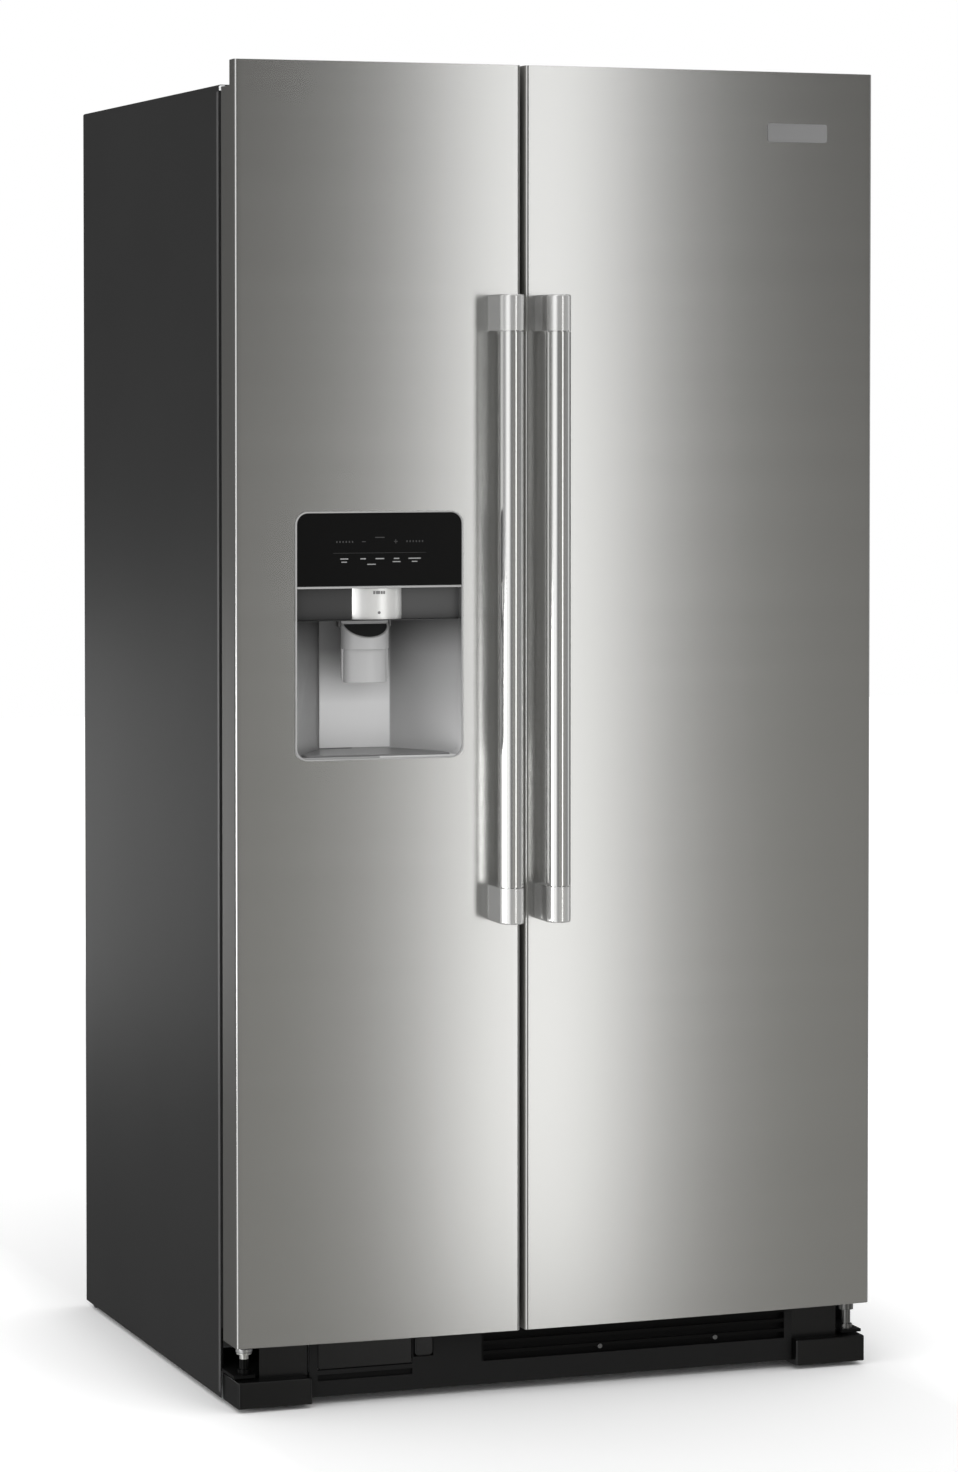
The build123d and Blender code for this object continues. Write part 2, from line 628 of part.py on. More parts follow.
def upper_hinge(side):
    """Plate on the cabinet top that carries a door's upper pin over its shoulder."""
    place = Pos(side * AXIS_X, AXIS_Y, 0)
    near, far = BRACKET_IN
    back = Y_CAB - AXIS_Y + BRACKET_BACK
    front = Y_CAB - AXIS_Y
    points = [(PAST, -ARM_HALF), (ARM_REACH, -ARM_HALF), (far, front), (far, back)]
    points += [(near, back), (near, front - PAST), (BOSS_R, ARM_HALF)]
    outline = [(-side * x, y) for x, y in points]
    arm = place * prism(outline, CAB_TOP, CAB_TOP + BRACKET_T)
    axis = (side * AXIS_X, AXIS_Y)
    top = CAB_TOP + BRACKET_T
    arm += rod(BOSS_R, (*axis, CAB_TOP), (*axis, top))
    return arm - rod(PIN_R + FIT, (*axis, CAB_TOP - PAST), (*axis, top + PAST))


def hinge_screw_places(side):
    """Where the two screws hold an upper bracket to the cabinet."""
    x = side * (AXIS_X - sum(BRACKET_IN) / 2)
    return [(x, Y_CAB + BRACKET_BACK * share) for share in SCREW_SHARES]


def hinge_cover(side):
    """Moulded cover over an upper bracket."""
    near, far = BRACKET_IN
    x = sided(side, AXIS_X - far - COVER_ROOM, AXIS_X - near + COVER_ROOM)
    y = (Y_CAB + COVER_T, Y_CAB + BRACKET_BACK + COVER_ROOM)
    shell = block(x, y, (CAB_TOP, CAB_TOP + COVER_H))
    shell = fillet(shell.edges().filter_by(Axis.Z), COVER_ROOM)
    shell = fillet(shell.faces().sort_by(Axis.Z)[-1].edges(), COVER_ROUND)
    inside = (y[0] + COVER_T, y[1] - COVER_T)
    shell -= block((x[0] + COVER_T, x[1] - COVER_T), inside, (CAB_TOP - PAST, CAB_TOP + COVER_H - COVER_T))
    arm_gap = sided(side, AXIS_X - far - FIT, AXIS_X - near + FIT)
    gap_y = (y[0] - PAST, y[0] + COVER_ROOM)
    return shell - block(arm_gap, gap_y, (CAB_TOP - PAST, CAB_TOP + BRACKET_T + FIT))


def lower_hinge(side):
    """Bracket under the deck: hinge plate, side plate, top flange, roller ears and leg nut."""
    outer = CAB_HALF - SHEET - FIT
    deep = (Y_CAB + PAST, Y_CAB + BRACKET_D)
    top = DECK_Z - FIT
    hinge = block(sided(side, outer - BRACKET_T, outer), deep, (PLATE_Z, top))
    hinge += block(sided(side, outer - BRACKET_W, outer), deep, (top - BRACKET_T, top))
    level = (PLATE_Z, PLATE_Z + PLATE_T)
    hinge_front = AXIS_Y - COLLAR_R - PAST
    hinge_in = AXIS_X - COLLAR_R - PAST
    leg_front = Y_CORNER + LEG_Y - 2 * LEG_R
    leg_in = WIDTH / 2 - LEG_X - LEG_PAD_R
    hinge += block(sided(side, hinge_in, outer), (hinge_front, Y_CAB + BRACKET_D), level)
    hinge += block(sided(side, leg_in, outer), (leg_front, Y_CAB + BRACKET_D), level)
    for ear in roller_ears(side, FRONT_ROLLER_Y, ROLLER_R + ROLLER_LIFT, PLATE_Z + FIT):
        hinge += ear
    hole = PLATE_Z - PAST, PLATE_Z + PLATE_T + PAST
    leg = (side * (WIDTH / 2 - LEG_X), Y_CORNER + LEG_Y)
    hinge -= rod(LEG_R + RUN, (*leg, hole[0]), (*leg, hole[1]))
    return hinge - rod(PIN_R + FIT, (side * AXIS_X, AXIS_Y, hole[0]), (side * AXIS_X, AXIS_Y, hole[1]))


def hinge_pins():
    """Upper pins hang from their brackets; lower pins stand on theirs with a bearing collar."""
    pins = []
    for side in (-1, 1):
        x = side * AXIS_X
        top = CAB_TOP + BRACKET_T
        upper = rod(PIN_R, (x, AXIS_Y, SHOULDER_Z - PIN_DEPTH), (x, AXIS_Y, top))
        upper += rod(BOSS_R, (x, AXIS_Y, top), (x, AXIS_Y, top + SCREW_H))
        lower = rod(PIN_R, (x, AXIS_Y, PLATE_Z), (x, AXIS_Y, DOOR_BOTTOM + PIN_DEPTH))
        collar_top = DOOR_BOTTOM - SLIDE
        lower += rod(COLLAR_R, (x, AXIS_Y, collar_top - COLLAR_H), (x, AXIS_Y, collar_top))
        plate_top = PLATE_Z + PLATE_T
        lower += rod(BOSS_R, (x, AXIS_Y, plate_top), (x, AXIS_Y, plate_top + COLLAR_H / 2))
        pins += [upper, lower]
    return pins


def foot_cover(side):
    """Black box over a front foot with the shield that stands behind it."""
    x = sided(side, FOOT_INNER, FOOT_OUT)
    y = (FOOT_Y, Y_CAB - FOOT_T)
    box = block(x, y, (FOOT_Z, FOOT_Z + FOOT_H))
    box = fillet(box.edges().filter_by(Axis.Z).sort_by(Axis.Y)[:2], FOOT_R)
    box = fillet(box.faces().sort_by(Axis.Z)[-1].edges().sort_by(Axis.Y)[0], FOOT_T)
    inside = (y[0] + FOOT_T, y[1] + PAST)
    box -= block((x[0] + FOOT_T, x[1] - FOOT_T), inside, (FOOT_Z - PAST, FOOT_Z + FOOT_H - FOOT_T))
    leg = (side * (WIDTH / 2 - LEG_X), Y_CORNER + LEG_Y)
    roof = FOOT_Z + FOOT_H
    box -= rod(LEG_COLLAR_R + PAST, (*leg, roof - FOOT_T - PAST), (*leg, roof + PAST))
    shield_y = FOOT_Y + SHIELD_SET
    shield = (roof - FIT, BASE_TOP)
    return box + block(sided(side, FOOT_INNER, FOOT_INNER + SHIELD_W), (shield_y, shield_y + FOOT_T), shield)


def base_grille():
    """Plain left panel with the filter opening, louvres on the right and a rail below."""
    x = (-FOOT_INNER + FIT, FOOT_INNER - FIT)
    deep = (GRILLE_Y, GRILLE_Y + GRILLE_T)
    cut = (GRILLE_Y - PAST, GRILLE_Y + GRILLE_T + PAST)
    rail_top = GRILLE_Z + GRILLE_RAIL
    grille = block(x, deep, (GRILLE_Z, BASE_TOP))
    opening = (CAP_X[0] - CAP_MARGIN, CAP_X[1] + CAP_MARGIN)
    grille -= block(opening, cut, (CAP_Z[0] - CAP_MARGIN, CAP_Z[1] + CAP_MARGIN / 2))
    slot = rail_top - RIB_W
    grille -= block(opening, cut, (slot, rail_top - BASE_TOP_GAP / 2))
    button = button_span()
    button_room = (button[0] - CAP_MARGIN, button[1] + CAP_MARGIN)
    button_tall = (button_low() - CAP_MARGIN, BASE_TOP + PAST)
    grille -= block(button_room, cut, button_tall)
    pitch = (BASE_TOP - rail_top) / LOUVRES
    for index in range(LOUVRES):
        low = rail_top + pitch * index
        grille -= block((LOUVRE_X, x[1] - GRILLE_T * 4), cut, (low, low + pitch - LOUVRE_BAR))
    for end in (x[0], x[1] - GRILLE_T):
        grille += block((end, end + GRILLE_T), (GRILLE_Y, GRILLE_Y + GRILLE_DEPTH), (GRILLE_Z, rail_top))
    guide = (GRILLE_Y + GRILLE_T - FIT, GRILLE_Y + GRILLE_DEPTH + GRILLE_T)
    stem_x = ((button[0] + button[1]) / 2, button_low() + BUTTON_H / 2)
    socket = block((button[0] - GRILLE_T, button[1] + GRILLE_T), guide, (button_low() - GRILLE_T, BASE_TOP))
    room = (guide[0] - PAST, guide[1] - GRILLE_T)
    socket -= block(button_room, room, button_tall)
    half = BUTTON_STEM / 2 + SLIDE
    through = (guide[0] - PAST, guide[1] + PAST)
    socket -= block((stem_x[0] - half, stem_x[0] + half), through, (stem_x[1] - half, stem_x[1] + half))
    return grille + socket


def button_span():
    """Left and right edge of the filter eject button."""
    left = CAP_X[1] + BUTTON_GAP + CAP_MARGIN
    return left, left + BUTTON_W


def button_low():
    """Lower edge of the filter eject button."""
    return BASE_TOP - BUTTON_H


def filter_button():
    """Push button with a square stem in its guide."""
    x = button_span()
    low = button_low()
    face = (GRILLE_Y - BUTTON_PROUD + GRILLE_T, GRILLE_Y + GRILLE_T)
    middle = (x[0] + x[1]) / 2
    button = block(x, face, (low, low + BUTTON_H - CAP_MARGIN))
    button = fillet(button.edges().filter_by(Axis.Y).sort_by(Axis.Z)[:2], BUTTON_W / 4)
    half = BUTTON_STEM / 2
    stem_end = GRILLE_Y + GRILLE_DEPTH + GRILLE_T
    z = low + BUTTON_H / 2
    return button + block((middle - half, middle + half), (face[1] - FIT, stem_end), (z - half, z + half))


def water_filter():
    """Cartridge with its flat cap and neck."""
    face = (GRILLE_Y, GRILLE_Y + CAP_DEPTH)
    cap = block(CAP_X, face, CAP_Z)
    cap = fillet(cap.edges().filter_by(Axis.Y), CAP_DEPTH / 2)
    start = GRILLE_Y + CAP_DEPTH - FIT
    body_start = start + FILTER_NECK
    cap += rod(FILTER_NECK_R, (FILTER_X, start, FILTER_Z), (FILTER_X, body_start + FIT, FILTER_Z))
    body = rod(FILTER_R, (FILTER_X, body_start, FILTER_Z), (FILTER_X, body_start + FILTER_L, FILTER_Z))
    body = fillet(body.edges().filter_by(GeomType.CIRCLE), FILTER_R / 5)
    return cap + body


def filter_housing():
    """Tube under the deck that the cartridge slides into, hung from the deck by two straps."""
    start = Y_CAB + PAST
    end = GRILLE_Y + CAP_DEPTH + FILTER_NECK + FILTER_L + FILTER_WALL
    bore = FILTER_R + SLIDE
    tube = rod(bore + FILTER_WALL, (FILTER_X, start, FILTER_Z), (FILTER_X, end + FILTER_WALL, FILTER_Z))
    tube -= rod(bore, (FILTER_X, start - PAST, FILTER_Z), (FILTER_X, end, FILTER_Z))
    strap = (FILTER_Z + bore + FILTER_WALL / 2, DECK_Z - FIT)
    for y in (start + BIN_R, end - BIN_R):
        tube += block((FILTER_X - BIN_R, FILTER_X + BIN_R), (y - BIN_R / 2, y + BIN_R / 2), strap)
    return tube


def leveling_leg(side):
    """Round pad and threaded stem that turns in the lower bracket."""
    x = side * (WIDTH / 2 - LEG_X)
    y = Y_CORNER + LEG_Y
    pad = rod(LEG_PAD_R, (x, y, 0), (x, y, LEG_PAD_H))
    pad = fillet(pad.edges().sort_by(Axis.Z)[-1], LEG_PAD_H / 3)
    collar_top = PLATE_Z - SLIDE
    pad += rod(LEG_R, (x, y, LEG_PAD_H - FIT), (x, y, PLATE_Z + PLATE_T + BOSS_R))
    return pad + rod(LEG_COLLAR_R, (x, y, collar_top - LEG_PAD_H), (x, y, collar_top))


def back_panel():
    """Steel sheet behind the insulation."""
    half = CAB_HALF - SHEET - FIT
    return block((-half, half), (PANEL_Y, PANEL_Y + SHEET), (MACHINE_TOP + DECK_T, CAB_TOP - SHEET - FIT))


def machine_cover():
    """Vented cover of the machine space with the power inlet and the water inlet."""
    half = CAB_HALF - SHEET - FIT
    y = (PANEL_Y, PANEL_Y + COVER_SHEET)
    cut = (y[0] - PAST, y[1] + PAST)
    z = (TRAY_Z, MACHINE_TOP - FIT)
    cover = block((-half, half), y, z)
    pitch = (z[1] - z[0] - 2 * STEP_FOAM) / COVER_VENTS
    for index in range(COVER_VENTS):
        low = z[0] + STEP_FOAM + pitch * index
        for side in (-1, 1):
            cover -= block(sided(side, RIM_W, half - WALL_BACK * 3), cut, (low, low + pitch / 2))
    for x in INLET_X:
        middle = (x, z[0] + STEP_FOAM * 2)
        cover += rod(INLET_R, (middle[0], y[0], middle[1]), (middle[0], Y_BACK - FIT, middle[1]))
        cover -= rod(INLET_R / 2, (middle[0], y[1], middle[1]), (middle[0], Y_BACK + PAST, middle[1]))
    return cover


def compressor():
    """Domed can on a foot plate with four rubber feet."""
    x, radius, tall = COMPRESSOR
    y = (RISER_Y + PANEL_Y) / 2
    foot_r, foot_h = COMPRESSOR_FOOT
    floor = TRAY_Z + DECK_T
    base = floor + foot_h
    can = rod(radius, (x, y, base), (x, y, base + tall))
    can = fillet(can.edges().sort_by(Axis.Z)[-1], radius * CAN_DOME)
    can = fillet(can.edges().sort_by(Axis.Z)[0], radius * CAN_HEEL)
    half_x = radius * CAN_PLATE[0]
    half_y = radius * CAN_PLATE[1]
    can += block((x - half_x, x + half_x), (y - half_y, y + half_y), (base, base + BRACKET_T))
    for dx in (-1, 1):
        for dy in (-1, 1):
            place = (x + dx * (half_x - foot_r), y + dy * (half_y - foot_r))
            can += rod(foot_r, (*place, floor), (*place, base + BRACKET_T))
    return can


def condenser_coil():
    """Serpentine tube clipped under the deck."""
    z = DECK_Z - SLIDE - COIL_R
    start = Y_CAB + BRACKET_D
    pitch = (RISER_Y - start) / COIL_PASSES
    points = []
    for index in range(COIL_PASSES):
        ends = COIL_X if index % 2 == 0 else COIL_X[::-1]
        points += [(ends[0], start + pitch * index, z), (ends[1], start + pitch * index, z)]
    path = FilletPolyline(*points, radius=min(COIL_BEND, pitch / 2 - FIT))
    section = Plane(origin=path @ 0, z_dir=path % 0) * Circle(COIL_R)
    return sweep(section, path=path)


FAN_Y = (RISER_Y + PANEL_Y) / 2
FAN_Z = (TRAY_Z + MACHINE_TOP) / 2


def fan_motor():
    """Upright shroud across the machine space with the fan's motor and shaft."""
    x = (FAN_X, FAN_X + BRACKET_T)
    shroud = block(x, (RISER_Y + DECK_T + FIT, PANEL_Y - FIT), (TRAY_Z + DECK_T, MACHINE_TOP - FIT))
    centre = (FAN_Y, FAN_Z)
    shroud -= rod(FAN_R + FAN_ROOM, (x[0] - PAST, *centre), (x[1] + PAST, *centre))
    motor_x = x[1] + FAN_HUB_L
    for angle in STRUT_ANGLES:
        reach = FAN_R + FAN_ROOM * 2
        dy = reach * math.cos(math.radians(angle))
        dz = reach * math.sin(math.radians(angle))
        foot = (x[1] - FIT, FAN_Y + dy, FAN_Z + dz)
        shroud += rod(FAN_SHAFT_R, foot, (motor_x + FAN_ROOM, FAN_Y + dy * STRUT_IN, FAN_Z + dz * STRUT_IN))
    shroud += rod(MOTOR_R, (motor_x, *centre), (motor_x + MOTOR_L, *centre))
    return shroud + rod(FAN_SHAFT_R, (FAN_X - FAN_HUB_L, *centre), (motor_x + FAN_ROOM, *centre))


def fan_blade():
    """Hub with slanted blades that turns on the motor shaft."""
    start = FAN_X - FAN_HUB_L
    centre = (FAN_Y, FAN_Z)
    hub = rod(FAN_HUB_R, (start, *centre), (start + FAN_HUB_L, *centre))
    span = (VANE_IN, FAN_R)
    for index in range(FAN_BLADES):
        vane = Rot(0, 0, VANE_TILT) * Box(PAST, VANE_W, span[1] - span[0])
        vane = Pos(0, 0, (span[0] + span[1]) / 2) * vane
        turn = Rot(360 / FAN_BLADES * index, 0, 0)
        hub += Pos(start + FAN_HUB_L / 2, *centre) * (turn * vane)
    return hub - rod(FAN_SHAFT_R + RUN, (start - PAST, *centre), (start + FAN_HUB_L + PAST, *centre))


def wire_shelf(z):
    """Welded wire shelf: bars across with wires on them from front to back."""
    x = (FREEZER_IN[0] + PANE_SIDE, FREEZER_IN[1] - PANE_SIDE)
    y = (SHELF_Y + TRIM_D + WIRE_BAR_R, EVAP_Y - PAST - WIRE_BAR_R)
    bar_z = z + WIRE_BAR_R
    wire_z = bar_z + WIRE_BAR_R + WIRE_R - WIRE_SINK
    rods = []
    for index in range(WIRE_BARS):
        bar_y = y[0] + (y[1] - y[0]) * index / (WIRE_BARS - 1)
        rods.append(rod(WIRE_BAR_R, (x[0], bar_y, bar_z), (x[1], bar_y, bar_z)))
    count = int((x[1] - x[0] - 2 * RIB_W) / WIRE_STEP)
    first = (x[0] + x[1] - count * WIRE_STEP) / 2
    for index in range(count + 1):
        wire_x = first + WIRE_STEP * index
        rods.append(rod(WIRE_R, (wire_x, SHELF_Y, wire_z), (wire_x, y[1] + WIRE_BAR_R, wire_z)))
    return rods[0].fuse(*rods[1:])


WIRE_TOP = 2 * WIRE_BAR_R + 2 * WIRE_R - WIRE_SINK


def shelf_pane(z):
    """Glass shelf."""
    x = (FRIDGE_IN[0] + PANE_SIDE, FRIDGE_IN[1] - PANE_SIDE)
    return block(x, (SHELF_Y + FOOT_T, IN_BACK - SLIDE), (z, z + PANE_T))


def shelf_trim(z):
    """Moulded strip around the front edge of a glass shelf."""
    x = (FRIDGE_IN[0] + PANE_SIDE, FRIDGE_IN[1] - PANE_SIDE)
    middle = z + PANE_T / 2
    strip = block(x, (SHELF_Y, SHELF_Y + TRIM_D - FIT), (middle - TRIM_H / 2, middle + TRIM_H / 2))
    strip = fillet(strip.edges().filter_by(Axis.X).sort_by(Axis.Y)[:2], TRIM_H / 4)
    slot = (SHELF_Y + FOOT_T - FIT, SHELF_Y + TRIM_D + PAST)
    return strip - block((x[0] - PAST, x[1] + PAST), slot, (z - FIT, z + PANE_T + FIT))


def drawer(inside, back, z):
    """Open drawer with a grip along its front."""
    x = (inside[0] + LUG_T, inside[1] - LUG_T)
    box = tray(x, (DRAWER_Y, back), z, DRAWER_WALL, BIN_R)
    middle = (x[0] + x[1]) / 2
    grip_x = (middle - GRIP_W / 2, middle + GRIP_W / 2)
    grip = block(grip_x, (DRAWER_Y - GRIP_T, DRAWER_Y + FIT), (z[1] - GRIP_H, z[1]))
    grip = fillet(grip.edges().filter_by(Axis.X).sort_by(Axis.Y)[:2], GRIP_T / 3)
    return box + grip


def ice_bin():
    """Bucket on the upper wire shelf."""
    x = (FREEZER_IN[0] + RIB_W, FREEZER_IN[1] - RIB_W)
    low = ICE_SHELF_Z + WIRE_TOP + FIT
    return tray(x, (SHELF_Y, EVAP_Y - BIN_R), (low, low + ICE_BIN_H), DRAWER_WALL, BIN_R)


def ice_maker():
    """Ice mould and drive housing hung from the freezer ceiling."""
    back = EVAP_Y - SLIDE
    y = (back - ICE_MAKER_D, back)
    x = (FREEZER_IN[0] + WALL_BACK, FREEZER_IN[1] - RIB_W)
    top = IN_HIGH - ICE_MAKER_GAP
    body = block(x, y, (top - ICE_MAKER_H, top))
    body = fillet(body.edges().filter_by(Axis.Y), BIN_R)
    mould_x = (x[0] + RIM_W * 2, x[1] - DRAWER_WALL * 3)
    body -= block(mould_x, (y[0] + BIN_R, y[1] - BIN_R), (top - ICE_MAKER_H / 2, top + PAST))
    for share in ICE_MAKER_ARMS:
        arm_y = y[0] + ICE_MAKER_D * share
        body += block((x[0], x[0] + RIM_W), (arm_y - RIB_W, arm_y + RIB_W), (top - FIT, IN_HIGH - FIT))
    return body


def evaporator_cover():
    """Moulded panel in front of the evaporator with air slots at both ends."""
    x = (FREEZER_IN[0] + FIT, FREEZER_IN[1] - FIT)
    y = (EVAP_Y, EVAP_Y + EVAP_COVER_T)
    z = (STEP_Z + FIT, IN_HIGH - FIT)
    cover = block(x, y, z)
    for index in range(VENTS):
        for low in (z[0] + RIM_W + 2 * VENT_H * index, z[1] - WALL_TOP * 2 - 2 * VENT_H * index):
            slot = (x[0] + WALL_BACK, x[1] - WALL_BACK)
            cover -= block(slot, (y[0] - PAST, y[1] + PAST), (low, low + VENT_H))
    return cover


def evaporator_coil():
    """Finned tubes behind the cover, hung on the back wall."""
    x = (FREEZER_IN[0] + RIM_W, FREEZER_IN[1] - RIM_W)
    y = (EVAP_Y + EVAP_COVER_T + RIB_H, IN_BACK - SLIDE)
    low = STEP_Z + RIM_W
    pieces = []
    pitch = (x[1] - x[0] - 2 * RIB_W) / (EVAP_FINS - 1)
    for index in range(EVAP_FINS):
        fin_x = x[0] + RIB_W + pitch * index
        pieces.append(block((fin_x - FIN_T / 2, fin_x + FIN_T / 2), y, (low, low + EVAP_H)))
    step = EVAP_H / EVAP_TUBES
    for index in range(EVAP_TUBES):
        tube_z = low + step * (index + 0.5)
        middle = (y[0] + y[1]) / 2
        pieces.append(rod(TUBE_R, (x[0], middle, tube_z), (x[1], middle, tube_z)))
    return pieces[0].fuse(*pieces[1:])


def lamp_lens(inside):
    """Ceiling lamp cover."""
    across, deep, drop = LENS
    x = (inside[0] + inside[1]) / 2
    y = SHELF_Y + deep
    lens_x = (x - across / 2, x + across / 2)
    lens = block(lens_x, (y - deep / 2, y + deep / 2), (IN_HIGH - drop, IN_HIGH - FIT))
    return fillet(lens.edges().group_by(Axis.Z)[0], drop / 3)


def cabinet_foam():
    """Insulation between the outer case, the liners and the base deck."""
    half = CAB_HALF - SHEET - FIT
    y = (Y_CAB + RAIL_T + FIT, PANEL_Y - FIT)
    foam = block((-half, half), y, (DECK_Z + DECK_T + FIT, CAB_TOP - SHEET - FIT))
    foam -= tub(FREEZER_IN, LINER + FIT, Y_CAB - PAST)
    foam -= tub(FRIDGE_IN, LINER + FIT, Y_CAB - PAST)
    machine = (RISER_Y - FIT, Y_BACK + PAST)
    return foam - block((-half - PAST, half + PAST), machine, (0, MACHINE_TOP + DECK_T + FIT))


def center_rail():
    """Steel strip between the two openings that the free edges of both gaskets hold to."""
    edge = LINER + FIT
    x = (FREEZER_IN[1] + edge, FRIDGE_IN[0] - edge)
    return block(x, (Y_CAB, Y_CAB + RAIL_T), (IN_LOW - LINER, IN_HIGH + LINER))


def dispenser_bezel():
    """Thin silver frame around the dispenser with the line under its panel."""
    half = DISP_W / 2
    y = (-BEZEL_PROUD, BEZEL_IN)
    ring = plate((-half, half), y, (DISP_LOW, DISP_HIGH), BEZEL_R)
    inner = (-half + BEZEL_W, half - BEZEL_W)
    opening = (DISP_LOW + BEZEL_W, DISP_HIGH - BEZEL_W)
    ring -= plate(inner, (y[0] - PAST, y[1] + PAST), opening, BEZEL_R - BEZEL_W)
    line = (LINE_Z - LINE_H / 2, LINE_Z + LINE_H / 2)
    ring += block((inner[0] - FIT, inner[1] + FIT), (-BEZEL_PROUD / 2, BEZEL_IN), line)
    wall = door_body(FREEZER_DOOR, -FIT, Y_DOOR_BACK, DOOR_BOTTOM, HEIGHT)
    return dispenser_place() * ring - (wall - dispenser_hole(RECESS_DEPTH, FIT))


def control_panel():
    """Black glossy touch panel."""
    half = DISP_W / 2 - BEZEL_W - FIT
    z = (LINE_Z + LINE_H / 2 + FIT, DISP_HIGH - BEZEL_W - FIT)
    front = PANEL_SET - BEZEL_PROUD
    panel = plate((-half, half), (front, front + PANEL_T), z, BEZEL_R - BEZEL_W)
    square = (z[0], (z[0] + z[1]) / 2)
    return dispenser_place() * (panel + block((-half, half), (front, front + PANEL_T), square))


def recess(grow):
    """Volume of the dispenser recess: straight mouth, then walls that close in to the back."""
    half = MOUTH_HALF + grow
    back = RECESS_BACK_W / 2 + grow
    low = RECESS_LOW - grow
    high = LINE_Z - LINE_H / 2 - HOUSING_T + grow - FIT
    mouth = plate((-half, half), (0, MOUTH_DEPTH + grow), (low, high), MOUTH_R + grow)
    outline = [(-half, MOUTH_DEPTH - FIT), (half, MOUTH_DEPTH - FIT), (back, RECESS_DEPTH + grow)]
    outline.append((-back, RECESS_DEPTH + grow))
    taper = prism(outline, low, ROOF_Z + grow)
    rear = taper.edges().filter_by(Axis.Z).sort_by(Axis.Y)[-2:]
    return mouth + fillet(rear, CORNER_R)


def dispenser_housing():
    """Moulded recess with its valance, ice hole, paddle lugs and paddle pin."""
    shell = recess(HOUSING_T) - recess(0)
    shell -= block((-MOUTH_HALF, MOUTH_HALF), (-PAST, PAST), (RECESS_LOW + CORNER_R, LINE_Z - CORNER_R))
    hole, deep = CHUTE_HOLE
    back = PADDLE_DEPTH - BARREL_R - PAST
    shell -= block((-hole / 2, hole / 2), (back - deep, back), (ROOF_Z - PAST, ROOF_Z + HOUSING_T + PAST))
    z = ROOF_Z - PADDLE_DROP
    inner = PADDLE_W / 2 + EAR_GAP
    for side in (-1, 1):
        lug = sided(side, inner, inner + LUG_T)
        shell += block(lug, (PADDLE_DEPTH - BARREL_R, PADDLE_DEPTH + BARREL_R), (z - BARREL_R, ROOF_Z + FIT))
    shell += rod(PIVOT_R, (-inner - FIT, PADDLE_DEPTH, z), (inner + FIT, PADDLE_DEPTH, z))
    return dispenser_place() * shell


def chute_cover():
    """Bulged silver cover in front of the valance."""
    half = CHUTE_W / 2
    rear = MOUTH_DEPTH - FIT
    bow = ThreePointArc((-half, rear), (0, rear - CHUTE_BULGE), (half, rear))
    outline = make_face(bow.edges() + Line((half, rear), (-half, rear)).edges())
    top = LINE_Z - LINE_H / 2 - HOUSING_T - 2 * FIT
    return dispenser_place() * (Pos(0, 0, ROOF_Z) * extrude(outline, amount=top - ROOF_Z))


def dispenser_paddle():
    """Lever under the ice hole: barrel, back plate, cup and a raised pad at its lower end."""
    half = PADDLE_W / 2
    pivot = ROOF_Z - PADDLE_DROP
    low = pivot - PADDLE_H
    front = PADDLE_DEPTH - BARREL_R
    lever = block((-half, half), (front, front + PADDLE_T), (low, pivot))
    lever = fillet(lever.edges().filter_by(Axis.Y).sort_by(Axis.Z)[:2], CORNER_R)
    cup_top = pivot - BARREL_R
    cup = block((-half, half), (front - CUP_DEPTH, front + FIT), (cup_top - CUP_H, cup_top))
    cup = fillet(cup.edges().filter_by(Axis.Z).sort_by(Axis.Y)[:2], CUP_DEPTH * CUP_ROUND)
    mouth_y = (front - CUP_DEPTH + PADDLE_T, front - FIT)
    mouth = block((-half + PADDLE_T, half - PADDLE_T), mouth_y, (cup_top - CUP_H - PAST, cup_top + PAST))
    cup -= fillet(mouth.edges().filter_by(Axis.Z).sort_by(Axis.Y)[:2], CUP_DEPTH * CUP_ROUND - PADDLE_T)
    pad = block((-half, half), (front - PADDLE_FACE_T, front + FIT), (low, low + PADDLE_FACE_H))
    pad = fillet(pad.edges().filter_by(Axis.Y).sort_by(Axis.Z)[:2], CORNER_R)
    lever += rod(BARREL_R, (-half, PADDLE_DEPTH, pivot), (half, PADDLE_DEPTH, pivot))
    lever = lever + cup + pad
    lever -= rod(PIVOT_R + RUN, (-half - PAST, PADDLE_DEPTH, pivot), (half + PAST, PADDLE_DEPTH, pivot))
    return dispenser_place() * lever


def bump():
    """Hollow cover on the freezer door liner over the back of the dispenser."""
    x = (DISP_X - BUMP_HALF, DISP_X + BUMP_HALF)
    shell = block(x, (Y_DOOR_BACK + FIT, BUMP_Y), BUMP_Z)
    shell = fillet(shell.edges().filter_by(Axis.Y), RIM_W)
    shell = fillet(shell.faces().sort_by(Axis.Y)[-1].edges(), RIM_W / 2)
    inside = (BUMP_Z[0] + LINER, BUMP_Z[1] - LINER)
    hollow = block((x[0] + LINER, x[1] - LINER), (Y_DOOR_BACK - LINER - PAST, BUMP_Y - LINER), inside)
    hollow = fillet(hollow.edges().filter_by(Axis.Y), RIM_W - LINER)
    hollow = fillet(hollow.faces().sort_by(Axis.Y)[-1].edges(), RIM_W / 2 - LINER)
    return shell, hollow


